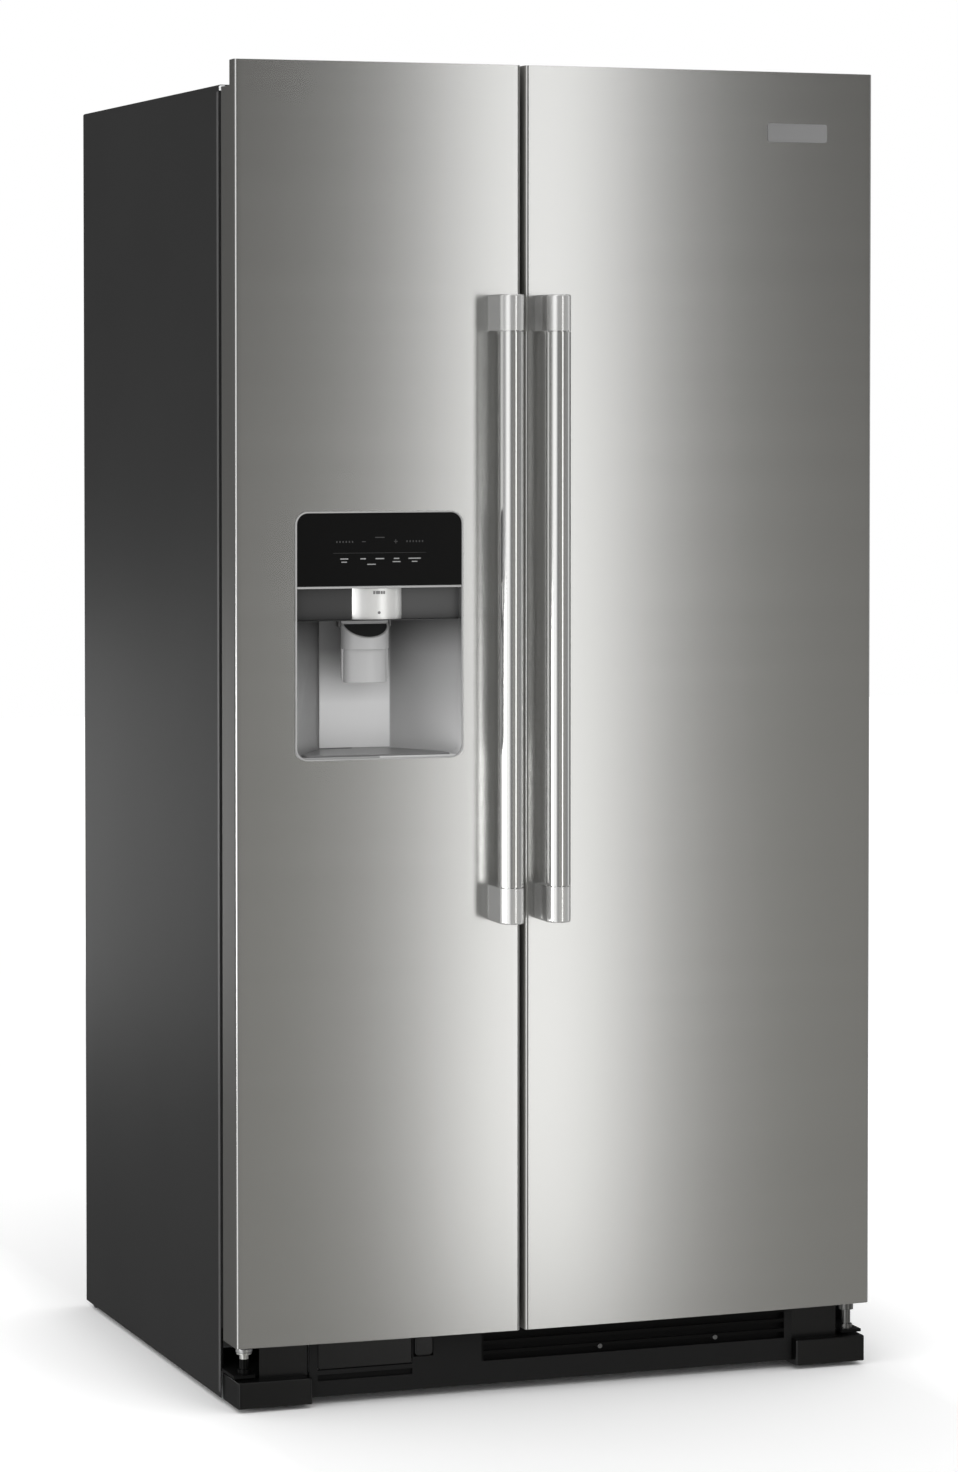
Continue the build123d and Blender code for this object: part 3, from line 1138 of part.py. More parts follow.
def freezer_door():
    """All fixed pieces of the freezer door."""
    skin = door_skin(FREEZER_DOOR) - dispenser_hole(MOUTH_DEPTH)
    half = DISP_W / 2 - BEZEL_GRIP
    room = block((-half, half), (-MOUTH_DEPTH, RECESS_DEPTH + HOUSING_T), (DISP_LOW, DISP_HIGH))
    foam = door_foam(FREEZER_DOOR) - dispenser_place() * room
    shell, hollow = bump()
    panel, rails = door_liner(FREEZER_DOOR, -1)
    bar, posts = handle(FREEZER_DOOR, GAP_X - HANDLE_OUT)
    save("freezer_door_skin", skin)
    save("freezer_door_caps", *door_caps(FREEZER_DOOR, -AXIS_X))
    save("freezer_door_foam", foam)
    clear_rails = [rail - shell for rail in rails]
    save("freezer_door_liner", panel - hollow, *clear_rails, shell - hollow)
    save("freezer_gasket", gasket(FREEZER_DOOR, -1))
    save("freezer_handle_bar", bar)
    save("freezer_handle_posts", *posts)
    save("freezer_door_bins", *door_bins(-1))
    save("dispenser_bezel", dispenser_bezel())
    save("control_panel", control_panel())
    save("dispenser_housing", dispenser_housing())
    save("chute_cover", chute_cover())
    save("dispenser_paddle", dispenser_paddle())


def fridge_door():
    """All pieces of the fridge door."""
    bar, posts = handle(FRIDGE_DOOR, GAP_X + HANDLE_OUT)
    save("fridge_door_skin", door_skin(FRIDGE_DOOR))
    save("fridge_door_caps", *door_caps(FRIDGE_DOOR, AXIS_X))
    save("fridge_door_foam", door_foam(FRIDGE_DOOR))
    panel, rails = door_liner(FRIDGE_DOOR, 1)
    save("fridge_door_liner", panel, *rails)
    save("fridge_gasket", gasket(FRIDGE_DOOR, 1))
    save("fridge_handle_bar", bar)
    save("fridge_handle_posts", *posts)
    save("fridge_door_bins", *door_bins(1))


def cabinet():
    """Case, insulation, machine space and base."""
    save("cabinet_wrapper", cabinet_wrapper())
    save("back_panel", back_panel())
    save("base_deck", base_deck())
    save("cabinet_foam", cabinet_foam())
    save("freezer_liner", cabinet_liner(FREEZER_IN, WIRE_LEVELS, []))
    save("fridge_liner", cabinet_liner(FRIDGE_IN, FRIDGE_LEVELS, [DELI_Z]))
    save("center_rail", center_rail())
    save("base_grille", base_grille())
    sides = (-1, 1)
    save("foot_covers", *[foot_cover(side) for side in sides])
    save("upper_hinges", *[upper_hinge(side) for side in sides])
    save("lower_hinges", *[lower_hinge(side) for side in sides])
    save("hinge_pins", *hinge_pins())
    save("hinge_covers", *[hinge_cover(side) for side in sides])
    screws = []
    for side in sides:
        for x, y in hinge_screw_places(side):
            low = CAB_TOP + BRACKET_T
            screws.append(rod(SCREW_R, (x, y, low), (x, y, low + SCREW_H)))
    save("hinge_screws", *screws)
    save("machine_cover", machine_cover())
    save("compressor", compressor())
    save("condenser_coil", condenser_coil())
    save("condenser_fan_motor", fan_motor())
    save("condenser_fan_blade", fan_blade())
    for side, name in ((-1, "left"), (1, "right")):
        save("front_" + name + "_roller", roller(side, FRONT_ROLLER_Y, ROLLER_R + ROLLER_LIFT))
        save("rear_" + name + "_roller", roller(side, REAR_ROLLER_Y, ROLLER_R))
        save(name + "_leveling_leg", leveling_leg(side))
    save("filter_housing", filter_housing())
    save("water_filter", water_filter())
    save("filter_button", filter_button())


def interior():
    """Shelves, drawers, lamps and the ice and cold air pieces."""
    save("shelf_panes", *[shelf_pane(z) for z in FRIDGE_LEVELS])
    save("shelf_trims", *[shelf_trim(z) for z in FRIDGE_LEVELS])
    save("freezer_shelves", *[wire_shelf(z) for z in WIRE_LEVELS])
    seat = IN_LOW + RIB_H + SLIDE
    front_drawer = (seat, COVER_Z - TRIM_H - DRAWER_TOP)
    drawer_back = STEP_Y - LUG_T
    save("crisper_drawer", drawer(FRIDGE_IN, drawer_back, front_drawer))
    save("freezer_basket", drawer(FREEZER_IN, drawer_back, front_drawer))
    save("deli_drawer", drawer(FRIDGE_IN, EVAP_Y, (DELI_Z, DELI_Z + DELI_H)))
    save("ice_bin", ice_bin())
    save("ice_maker", ice_maker())
    save("evaporator_cover", evaporator_cover())
    save("evaporator_coil", evaporator_coil())
    save("lamp_lenses", lamp_lens(FRIDGE_IN), lamp_lens(FREEZER_IN))


os.makedirs("parts", exist_ok=True)
cabinet()
interior()
freezer_door()
fridge_door()
print("hinge axes at x", -AXIS_X, AXIS_X, "y", AXIS_Y)
print("paddle pivot", dispenser_place(), PADDLE_DEPTH, ROOF_Z - PADDLE_DROP)
print("front rollers", ROLLER_OUT - ROLLER_W / 2, FRONT_ROLLER_Y, ROLLER_R + ROLLER_LIFT)
print("rear rollers", REAR_ROLLER_Y, ROLLER_R)
print("leveling legs", WIDTH / 2 - LEG_X, Y_CORNER + LEG_Y)
print("fan", FAN_X, FAN_Y, FAN_Z)
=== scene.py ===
# %% [markdown]
# A side by side refrigerator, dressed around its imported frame.
# The frame brings every rigid piece at its real place, in metres: the doors face -Y and +Z is up.
# Finishes come first, then the pieces whose shape carries the look are modelled again, then the studio.

# %% Load the frame
import json
import math

import bpy
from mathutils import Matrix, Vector


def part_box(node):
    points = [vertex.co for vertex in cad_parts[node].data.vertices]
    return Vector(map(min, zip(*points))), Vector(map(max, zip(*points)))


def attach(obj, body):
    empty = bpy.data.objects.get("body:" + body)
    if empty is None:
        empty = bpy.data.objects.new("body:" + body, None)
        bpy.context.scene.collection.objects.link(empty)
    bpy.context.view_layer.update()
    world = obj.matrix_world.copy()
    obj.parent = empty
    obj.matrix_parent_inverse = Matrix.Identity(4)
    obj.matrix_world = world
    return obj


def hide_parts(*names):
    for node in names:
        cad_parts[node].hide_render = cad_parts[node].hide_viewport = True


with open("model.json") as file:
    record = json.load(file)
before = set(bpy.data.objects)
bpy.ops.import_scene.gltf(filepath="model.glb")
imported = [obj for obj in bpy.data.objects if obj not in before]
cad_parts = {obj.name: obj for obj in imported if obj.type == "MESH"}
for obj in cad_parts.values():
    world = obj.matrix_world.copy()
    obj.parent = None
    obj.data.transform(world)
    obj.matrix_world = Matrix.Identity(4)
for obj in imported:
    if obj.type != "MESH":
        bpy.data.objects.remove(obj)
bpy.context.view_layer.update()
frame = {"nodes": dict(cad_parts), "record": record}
NODES = frame["nodes"]
MM = 0.001

# %% [markdown]
# A finish is a small tree of shader nodes, and much of it is arithmetic.
# Math nodes could be made and linked one by one, but plain sums are easier to read.
# So a Wire holds one socket, and its operators add the Math nodes that an expression needs.


# %% Wires
class Wire:
    """One output socket; arithmetic on it adds Math nodes."""

    def __init__(self, finish, socket):
        self.finish = finish
        self.socket = socket

    def math(self, operation, *values):
        return self.finish.node("ShaderNodeMath", {"operation": operation}, dict(enumerate(values)))

    def __add__(self, other):
        return self.math("ADD", self, other)

    def __radd__(self, other):
        return self.math("ADD", other, self)

    def __sub__(self, other):
        return self.math("SUBTRACT", self, other)

    def __rsub__(self, other):
        return self.math("SUBTRACT", other, self)

    def __mul__(self, other):
        return self.math("MULTIPLY", self, other)

    def __rmul__(self, other):
        return self.math("MULTIPLY", other, self)

    def __truediv__(self, other):
        return self.math("DIVIDE", self, other)

    def __rtruediv__(self, other):
        return self.math("DIVIDE", other, self)

    def __gt__(self, other):
        return self.math("GREATER_THAN", self, other)

    def __lt__(self, other):
        return self.math("LESS_THAN", self, other)

    def size(self):
        return self.math("ABSOLUTE", self)

    def sine(self):
        return self.math("SINE", self)

    def angle_from(self, along):
        return self.math("ARCTAN2", self, along)


print("wires: + - * / > <")

# %% [markdown]
# A material, or the world, is one tree of nodes that ends in one shader.
# Each node could be set up in lines of its own; one method for any node keeps a finish short.
# The methods after it name what comes back often: the place on a piece, a noise, a ramp, a mix and a bump.

# %% Finishes
PLAIN = (1.0, 1.0, 1.0)


def rgba(level, tint=PLAIN):
    """A grey of one level with a slight tint."""
    return (level * tint[0], level * tint[1], level * tint[2], 1.0)


class Finish:
    """A material, or the world, with short ways to feed its shader."""

    def __init__(self, name, owner=None):
        self.owner = owner or bpy.data.materials.new(name)
        self.owner.use_nodes = True
        self.tree = self.owner.node_tree
        self.tree.nodes.clear()

    def node(self, kind, settings=None, sockets=None, output=0):
        """Add any node: its settings first, then the values or links of its sockets."""
        made = self.tree.nodes.new(kind)
        for key, value in (settings or {}).items():
            if key == "stops":
                self.stops(made.color_ramp, value)
            else:
                setattr(made, key, value)
        for key, value in (sockets or {}).items():
            if isinstance(value, Wire):
                self.tree.links.new(value.socket, made.inputs[key])
            else:
                made.inputs[key].default_value = value
        return Wire(self, made.outputs[output]) if len(made.outputs) else None

    def stops(self, ramp, places):
        """Give a ramp its places and colours."""
        while len(ramp.elements) < len(places):
            ramp.elements.new(0.5)
        for element, (place, shade) in zip(ramp.elements, places):
            element.position = place
            element.color = shade

    def here(self):
        """The place on the piece, in metres."""
        return self.node("ShaderNodeTexCoord", output=3)

    def split(self, vector):
        """The three parts of a vector."""
        return [self.node("ShaderNodeSeparateXYZ", {}, {0: vector}, output=index) for index in range(3)]

    def axes(self):
        return self.split(self.here())

    def noise(self, scale, detail=2.0, rough=0.5):
        """Noise with a scale per metre along each axis."""
        spot = self.node("ShaderNodeMapping", {}, {"Vector": self.here(), "Scale": scale})
        sockets = {"Vector": spot, "Scale": 1.0, "Detail": detail, "Roughness": rough}
        return self.node("ShaderNodeTexNoise", {}, sockets)

    def ramp(self, factor, places):
        return self.node("ShaderNodeValToRGB", {"stops": places}, {0: factor})

    def fade(self, factor, first, second, tint=PLAIN):
        """A grey that goes from one level to another over the middle of a factor's range."""
        return self.ramp(factor, [(0.3, rgba(first, tint)), (0.7, rgba(second, tint))])

    def mix(self, factor, first, second):
        """One colour or another; a Mix node takes them at sockets 6 and 7 and gives one at socket 2."""
        return self.node("ShaderNodeMix", {"data_type": "RGBA"}, {0: factor, 6: first, 7: second}, output=2)

    def bump(self, height, distance):
        return self.node("ShaderNodeBump", {}, {"Height": height, "Distance": distance, "Strength": 0.6})

    def surface(self, **sockets):
        """End in one shader; an underscore in a socket's name stands for a space."""
        named = {key.replace("_", " "): value for key, value in sockets.items()}
        shader = self.node("ShaderNodeBsdfPrincipled", {}, named)
        self.node("ShaderNodeOutputMaterial", {}, {"Surface": shader})
        return self.owner


print("finishes: noise, ramp, fade, mix and bump")

# %% [markdown]
# The door sheet is stainless steel, brushed along its width.
# A picture of brushed steel would do, but a noise stretched along X stays sharp from near and far.
# The grain varies tone and roughness only a little; the tall lamp does the rest.
# Where the sheet turns back at a door's sides it is painted, paler between the doors than outside.

# %% Metal finishes
STEEL_TINT = (1.0, 1.0, 0.985)
PAINT_TINT = (1.0, 0.985, 0.92)
OUTER_GREY = rgba(0.058, PAINT_TINT)
INNER_GREY = rgba(0.19, PAINT_TINT)
SIDE_BAND = 1.3 * MM
BROADER = 0.13
FINE_SHARE = 0.4
TONE_SPREAD = 0.015
ROUGH_SPREAD = 0.02
PAINT_ROUGHER = 0.2
DOOR_TONE = 0.575
DOOR_ROUGH = 0.225
DOOR_GRAIN = (2.0, 2.0, 190.0)


def grained(made, base, rough, grain):
    """Colour and roughness of brushed metal; the grain's scale is per metre along each axis."""
    fine = made.noise(grain, 3.0, 0.6)
    broad = made.noise(tuple(axis * BROADER for axis in grain))
    streak = fine * FINE_SHARE + broad * (1 - FINE_SHARE)
    shade = made.fade(streak, base * (1 - TONE_SPREAD), base * (1 + TONE_SPREAD), STEEL_TINT)
    return shade, streak * ROUGH_SPREAD + (rough - ROUGH_SPREAD / 2)


def brushed_steel(name, base, rough, grain, metal=1.0):
    """Stainless metal with a grain."""
    made = Finish(name)
    shade, gloss = grained(made, base, rough, grain)
    return made.surface(Base_Color=shade, Metallic=metal, Roughness=gloss)


def door_steel(name, outer, inner):
    """Door sheet, brushed in front and painted on its side returns."""
    made = Finish(name)
    shade, gloss = grained(made, DOOR_TONE, DOOR_ROUGH, DOOR_GRAIN)
    across, _, _ = made.axes()
    at_outer = (across - outer).size() < SIDE_BAND
    at_inner = (across - inner).size() < SIDE_BAND
    tone = made.mix(at_inner, made.mix(at_outer, shade, OUTER_GREY), INNER_GREY)
    painted = at_outer + at_inner
    return made.surface(Base_Color=tone, Metallic=1.0 - painted, Roughness=painted * PAINT_ROUGHER + gloss)


def plated_steel(name, base, rough):
    """Zinc plated or galvanised metal with soft clouding."""
    made = Finish(name)
    cloud = made.noise((26, 26, 26), 3.0)
    shade = made.fade(cloud, base * 0.93, base * 1.04)
    return made.surface(Base_Color=shade, Metallic=0.9, Roughness=cloud * 0.15 + rough)


print("metal finishes: brushed, door sheet and plated")

# %% [markdown]
# Painted and moulded surfaces are never perfectly even in colour or gloss.
# Each could have a recipe of its own, but one covers them all: a slow drift of the colour, and fine pebbles
# that vary the gloss and raise a shallow relief.

# %% Painted and moulded finishes
GLOSS_SPREAD = 0.08


def uneven(made, scale, rough):
    """Roughness that varies a little around its level, and the noise that varies it."""
    grain = made.noise((scale, scale, scale))
    return grain * GLOSS_SPREAD + (rough - GLOSS_SPREAD / 2), grain


def moulded(name, level, rough, pebble=900.0, relief=0.00003, tint=PLAIN, coat=0.0, gloss_level=0.5):
    """Paint or plastic of one grey level; pebbles are counted per metre, their relief is in metres."""
    made = Finish(name)
    drift = made.noise((5, 5, 5))
    gloss, grain = uneven(made, pebble, rough)
    return made.surface(
        Base_Color=made.fade(drift, level * 0.94, level * 1.05, tint),
        Roughness=gloss,
        Normal=made.bump(grain, relief),
        Coat_Weight=coat,
        Specular_IOR_Level=gloss_level)


print("moulded finish: gloss varies by", GLOSS_SPREAD)

# %% [markdown]
# The drawers and bins are clear plastic, the shelves are glass, and the lamps have milky lenses.
# Full refraction would be truest but is slow and dark behind several walls, so a share of the light passes
# straight through.

# %% Clear finishes and lamp lenses
CLEAR_WEIGHT = 0.92
CLEAR_INDEX = 1.46
CLEAR_SOLID = 0.42
LENS_RIBS = 60.0
LENS_GLOW = 1.2


def clear(name, level, rough, tint):
    """Clear plastic or glass with a light haze."""
    made = Finish(name)
    haze = made.noise((40, 40, 40))
    return made.surface(
        Base_Color=made.fade(haze, level * 0.97, level, tint),
        Roughness=haze * 0.05 + rough,
        Transmission_Weight=CLEAR_WEIGHT,
        IOR=CLEAR_INDEX,
        Alpha=CLEAR_SOLID)


def lamp_finish(name):
    """Milky lens over a lamp, with fine ribs."""
    made = Finish(name)
    sockets = {"Vector": made.here(), "Scale": LENS_RIBS}
    ribs = made.node("ShaderNodeTexWave", {"bands_direction": "X"}, sockets)
    glow = made.ramp(ribs, [(0.0, (0.95, 0.93, 0.88, 1.0)), (1.0, (1.0, 0.98, 0.94, 1.0))])
    return made.surface(Base_Color=glow, Roughness=0.35, Emission_Color=glow, Emission_Strength=LENS_GLOW)


print("clear finishes:", CLEAR_SOLID, "solid")

# %% [markdown]
# Every frame node names a material slot, such as the case paint or the liner's white plastic.
# A finish could be given to each node in turn, but a table by slot shows all of them at once.
# Its numbers are level and roughness, then pebbles per metre and relief in metres, or the grain.

# %% Finishes of the frame's nodes
HANDLE_GRAIN = (9.0, 9.0, 1.5)

FINISHES = {
    "stainless": brushed_steel("door_steel", DOOR_TONE, DOOR_ROUGH, DOOR_GRAIN),
    "handle_steel": brushed_steel("handle_steel", 0.70, 0.115, HANDLE_GRAIN, 0.9),
    "case_paint": moulded("case_enamel", 0.017, 0.5, 1400.0, 0.00004, gloss_level=0.25),
    "zinc_sheet": plated_steel("galvanised_sheet", 0.55, 0.38),
    "zinc_steel": plated_steel("zinc_plate", 0.50, 0.24),
    "insulation": moulded("foam", 0.7, 0.9, 500.0, 0.0002, (1.0, 0.86, 0.56)),
    "white_plastic": moulded("liner_white", 0.82, 0.32, 700.0, 0.00001, (0.985, 1.0, 1.0), 0.15),
    "clear_plastic": clear("clear_tray", 0.96, 0.05, (0.95, 0.99, 1.0)),
    "wire_white": moulded("wire_coat", 0.84, 0.35, 300.0, 0.00002),
    "glass": clear("shelf_glass", 0.95, 0.02, (0.86, 0.98, 0.94)),
    "cap_plastic": moulded("cap_grey", 0.075, 0.45, 1100.0, 0.00004),
    "black_plastic": moulded("base_black", 0.007, 0.40, 1000.0, 0.00004, gloss_level=0.25),
    "panel_black": moulded("panel_black", 0.0025, 0.32, 400.0, 0.000002, gloss_level=0.12),
    "silver_plastic": moulded("silver_paint", 0.34, 0.28, 1500.0, 0.00001, (1.0, 1.0, 0.99), 0.2),
    "recess_grey": moulded("recess_grey", 0.33, 0.30, 900.0, 0.00001),
    "seal_rubber": moulded("seal_vinyl", 0.10, 0.55, 600.0, 0.00003),
    "foot_rubber": moulded("foot_rubber", 0.03, 0.6, 700.0, 0.00004),
    "coil_metal": plated_steel("fin_aluminium", 0.75, 0.30),
    "pump_paint": moulded("pump_black", 0.02, 0.30, 500.0, 0.00004),
}

SLOT_OF = {row["node"]: row["material_slot"] for row in frame["record"]["subparts"]}
for name, node in NODES.items():
    node.data.materials.clear()
    node.data.materials.append(FINISHES[SLOT_OF[name]])
NODES["lamp_lenses"].data.materials[0] = lamp_finish("lamp_lens")
print("finishes:", len(FINISHES), "slots on", len(NODES), "nodes")

# %% [markdown]
# The right door stands on a bright threaded stud, and the left one on a bright collar over a dark stem.
# A thread could be modelled turn by turn, but it is so small that a sine along the stud paints it: bright
# and dark bands as painted glints on its crests and shade in its grooves.
# The deck and the brackets behind the base are dull black, darker than the mouldings in front of them;
# on the deck and the filter housing the black also stands in for the shade behind the louvres.

# %% Hinge pins and base deck
THREAD_WAVES = 4200.0
COLLAR_Z = 66 * MM
COLLAR_EDGE = 400.0


def pin_finish(name):
    """A stud on the right whose thread is painted as bright glints and dark shade, a bright collar over a
    dark stem on the left.
    """
    made = Finish(name)
    across, _, up = made.axes()
    thread_shading = (up * THREAD_WAVES).sine() * 0.5 + 0.5
    stud = made.ramp(thread_shading, [(0.2, rgba(0.03)), (0.8, (0.30, 0.30, 0.29, 1.0))])
    stem = made.ramp((up - COLLAR_Z) * COLLAR_EDGE, [(0.4, rgba(0.008)), (0.6, (0.62, 0.62, 0.60, 1.0))])
    return made.surface(Base_Color=made.mix(across > 0.0, stem, stud), Metallic=0.9, Roughness=0.28)


NODES["hinge_pins"].data.materials[0] = pin_finish("pin_steel")
black_paint_and_shade = moulded("deck_black_and_shade", 0.004, 0.55, 800.0, 0.00004, gloss_level=0.15)
for name in ("base_deck", "lower_hinges", "filter_housing"):
    NODES[name].data.materials[0] = black_paint_and_shade
print("hinge pins threaded, deck painted")

# %% [markdown]
# Every new piece is modelled as by hand: add a primitive, shape it in edit mode, finish it with modifiers.
# A mesh could also be written point by point, but operators show the steps that a modeller takes.
# Each piece starts as a box or a round bar between two points, with its place in its mesh.


# %% Boxes and bars
def deselect():
    """Leave nothing selected, because an operator acts on all that is."""
    bpy.ops.object.select_all(action="DESELECT")


def only(piece):
    """Make one piece the selected and active one."""
    deselect()
    piece.select_set(True)
    bpy.context.view_layer.objects.active = piece


def settle():
    """Move the active piece's place, turn and size into its mesh."""
    bpy.ops.object.transform_apply(location=True, rotation=True, scale=True)


def box_piece(name, low, high):
    """A box between two corners."""
    deselect()
    middle = [(a + b) / 2 for a, b in zip(low, high)]
    bpy.ops.mesh.primitive_cube_add(size=1.0, location=middle)
    piece = bpy.context.object
    piece.name = name
    piece.scale = [b - a for a, b in zip(low, high)]
    settle()
    return piece


def wide_box(name, half, depth, height):
    """A box around x = 0, from its half width and its ranges in depth and height."""
    return box_piece(name, (-half, depth[0], height[0]), (half, depth[1], height[1]))


def rod_piece(name, radius, start, end, sides=64, fill="NGON"):
    """A round bar between two points; radius may be a pair for an oval."""
    deselect()
    way = Vector(end) - Vector(start)
    middle = (Vector(end) + Vector(start)) / 2
    turned = way.to_track_quat("Z", "Y").to_euler()
    bpy.ops.mesh.primitive_cylinder_add(
        vertices=sides, radius=1.0, depth=way.length, end_fill_type=fill, location=middle, rotation=turned)
    piece = bpy.context.object
    piece.name = name
    across = radius if isinstance(radius, tuple) else (radius, radius)
    piece.scale = (*across, 1.0)
    settle()
    return piece


print("starts: box and bar")

# %% [markdown]
# In edit mode a modeller clicks on faces and edges; a script picks them by their place and direction.
# Picking by number would be shorter but breaks as soon as a step before it changes.


# %% Moves in edit mode
def choose(piece, kind, test):
    """Enter edit mode with the faces, edges or points selected that pass a test on place and direction."""
    only(piece)
    bpy.ops.object.mode_set(mode="EDIT")
    bpy.ops.mesh.select_mode(type=kind)
    bpy.ops.mesh.select_all(action="DESELECT")
    done()
    mesh = piece.data
    if kind == "FACE":
        for face in mesh.polygons:
            face.select = test(face.center, face.normal)
    elif kind == "EDGE":
        for edge in mesh.edges:
            start, end = (mesh.vertices[index].co for index in edge.vertices)
            edge.select = test((start + end) / 2, (end - start).normalized())
    else:
        for point in mesh.vertices:
            point.select = test(point.co, point.normal)
    bpy.ops.object.mode_set(mode="EDIT")


def choose_all(piece):
    """Enter edit mode with every face selected."""
    choose(piece, "FACE", lambda middle, normal: True)


def done():
    """Leave edit mode."""
    bpy.ops.object.mode_set(mode="OBJECT")


def delete_chosen(kind):
    """Delete what is selected, then leave edit mode."""
    bpy.ops.mesh.delete(type=kind)
    done()


def bevel_chosen(width, segments):
    """Round the selected edges, then leave edit mode."""
    bpy.ops.mesh.bevel(
        offset=width, segments=segments, affect="EDGES", offset_type="OFFSET", clamp_overlap=True)
    done()


def pull(x, y, z):
    """Extrude what is selected."""
    bpy.ops.mesh.extrude_region_move(TRANSFORM_OT_translate={"value": (x, y, z)})


def slice_off(piece, place, direction, fill=True):
    """Cut a piece by a plane and drop what lies beyond it."""
    choose_all(piece)
    bpy.ops.mesh.bisect(plane_co=place, plane_no=direction, clear_outer=True, use_fill=fill)
    done()


print("moves: choose, bevel, pull and slice")

# %% [markdown]
# No real edge is perfectly sharp: a narrow rounding catches the light and makes a piece look solid.
# Every edge could be rounded in edit mode; a Bevel modifier with an angle limit finds the sharp ones.

# %% Modifiers
SHARP = 35.0


def modify(piece, kind, **settings):
    """Add one modifier and apply it."""
    only(piece)
    added = piece.modifiers.new(kind.lower(), kind)
    for key, value in settings.items():
        setattr(added, key, value)
    bpy.ops.object.modifier_apply(modifier=added.name)
    return piece


def smooth(piece, angle=SHARP):
    """Smooth shading that keeps sharp corners."""
    only(piece)
    bpy.ops.object.shade_smooth_by_angle(angle=math.radians(angle))
    return piece


def ease(piece, width, segments=2, angle=SHARP):
    """Soften every edge that is sharper than an angle, and shade the rest smooth."""
    modify(piece, "BEVEL", width=width, segments=segments, limit_method="ANGLE",
           angle_limit=math.radians(angle), use_clamp_overlap=True, harden_normals=False)
    smooth(piece, angle)
    return modify(piece, "WEIGHTED_NORMAL", keep_sharp=True)


def cut_away(piece, other):
    """Cut another piece away, and drop it."""
    modify(piece, "BOOLEAN", operation="DIFFERENCE", object=other, solver="EXACT")
    bpy.data.objects.remove(other)
    return piece


print("modifiers: edges over", SHARP, "degrees are softened")

# %% [markdown]
# Screws, clips, lugs and printed marks repeat, so one is modelled and copied, each copy with its own mesh.
# Linked copies would be lighter, but a finished piece here holds its place in its mesh.
# Last, a piece gets its finish, the body it moves with and the frame nodes it stands for.


# %% Copies and dressing
def join(first, *others):
    """Several shells as one piece."""
    only(first)
    for other in others:
        other.select_set(True)
    bpy.ops.object.join()
    return first


def copy_to(piece, place, size=(1.0, 1.0, 1.0)):
    """A copy with its own mesh, moved from the origin and stretched."""
    only(piece)
    bpy.ops.object.duplicate(linked=False)
    made = bpy.context.object
    made.location = place
    made.scale = size
    settle()
    return made


def copies(pattern, places, name):
    """One piece made of copies of a pattern, which is then dropped."""
    made = join(*[copy_to(pattern, *place) for place in places])
    made.name = name
    bpy.data.objects.remove(pattern)
    return made


def both_sides(x):
    """Places for two copies, left and right of the middle."""
    return [((side * x, 0, 0),) for side in (-1, 1)]


def dress(piece, body, slot, finish=None, stands_for=()):
    """Give a piece its finish, the body it moves with and the frame nodes it stands for."""
    piece.data.materials.clear()
    piece.data.materials.append(finish or FINISHES[slot])
    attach(piece, body)
    if stands_for:
        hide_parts(*stands_for)
    return piece


print("copies and dressing are ready")

# %% [markdown]
# The two doors share one shallow bow across the whole width, so light slides over both as one surface.
# A solid front would do for a closed door, but an open one shows the thin sheet, so it gets its thickness.
# A box is cut into upright columns, its front points are drawn onto the bow, and the two upright edges
# are rolled.

# %% Door skins
CROWN = 12 * MM
SHEET = 1.0 * MM
ROLLED = 4.5 * MM
COLUMNS = 40
LIP_DEPTH = 22 * MM
SHOULDER_DROP = 33 * MM
ALONG = 0.99

skin_low, skin_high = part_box("fridge_door_skin")
HALF_WIDTH = skin_high.x
FRONT_Y = skin_low.y
BOW_RADIUS = HALF_WIDTH ** 2 / (2 * CROWN) + CROWN / 2


def bow(x):
    """Depth of the door surface at a place across the front."""
    return FRONT_Y + BOW_RADIUS - math.sqrt(BOW_RADIUS ** 2 - x ** 2)


def door_skin(name, node, rows=()):
    """A bowed sheet with rolled edges and side returns; level cuts at some rows keep its shading even."""
    low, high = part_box(node)
    corner = bow(HALF_WIDTH)
    piece = box_piece(name, (low.x, corner, low.z), high)
    choose(piece, "EDGE", lambda middle, way: abs(way.x) > ALONG)
    bpy.ops.mesh.subdivide(number_cuts=COLUMNS - 1)
    done()
    choose(piece, "FACE", lambda middle, normal: normal.y > ALONG or abs(normal.z) > ALONG)
    delete_chosen("FACE")
    for point in piece.data.vertices:
        if point.co.y < corner + SHEET:
            point.co.y = bow(point.co.x)
    sides = (low.x + SHEET, high.x - SHEET)
    choose(piece, "EDGE", lambda middle, way: abs(way.z) > ALONG and middle.y < corner + SHEET
           and not sides[0] < middle.x < sides[1])
    bevel_chosen(ROLLED, segments=8)
    for level in rows:
        choose_all(piece)
        bpy.ops.mesh.bisect(plane_co=(0, 0, level), plane_no=(0, 0, 1))
        done()
    modify(piece, "SOLIDIFY", thickness=SHEET, offset=-1.0, use_even_offset=True)
    behind = (low.x - CROWN, corner + LIP_DEPTH, high.z - SHOULDER_DROP)
    return cut_away(piece, box_piece("cutter", behind, (high.x + CROWN, high.y + CROWN, high.z + CROWN)))


bezel_low, bezel_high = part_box("dispenser_bezel")
freezer_skin = door_skin("freezer_door_front", "freezer_door_skin", (bezel_low.z, bezel_high.z))
fridge_skin = door_skin("fridge_door_front", "fridge_door_skin")
print("door bow:", round(BOW_RADIUS, 2), "m radius")

# %% [markdown]
# The dispenser sits square to the door surface under it, so its pieces are made facing straight ahead
# around x = 0 and then turned and moved onto the door together.
# Its hole in the skin could be left out behind the bezel, but the recess would then be closed by the sheet.

# %% Dispenser place and the hole in the skin
DISPENSER_X = -259 * MM
DISPENSER_W = 231 * MM
DISPENSER_Z = (bezel_low.z, bezel_high.z)
BEZEL_R = 17 * MM
BEZEL_GRIP = 2 * MM
HOLE_DEPTH = 20 * MM
SKIN_EASE = 0.35 * MM
CURVED = 50.0


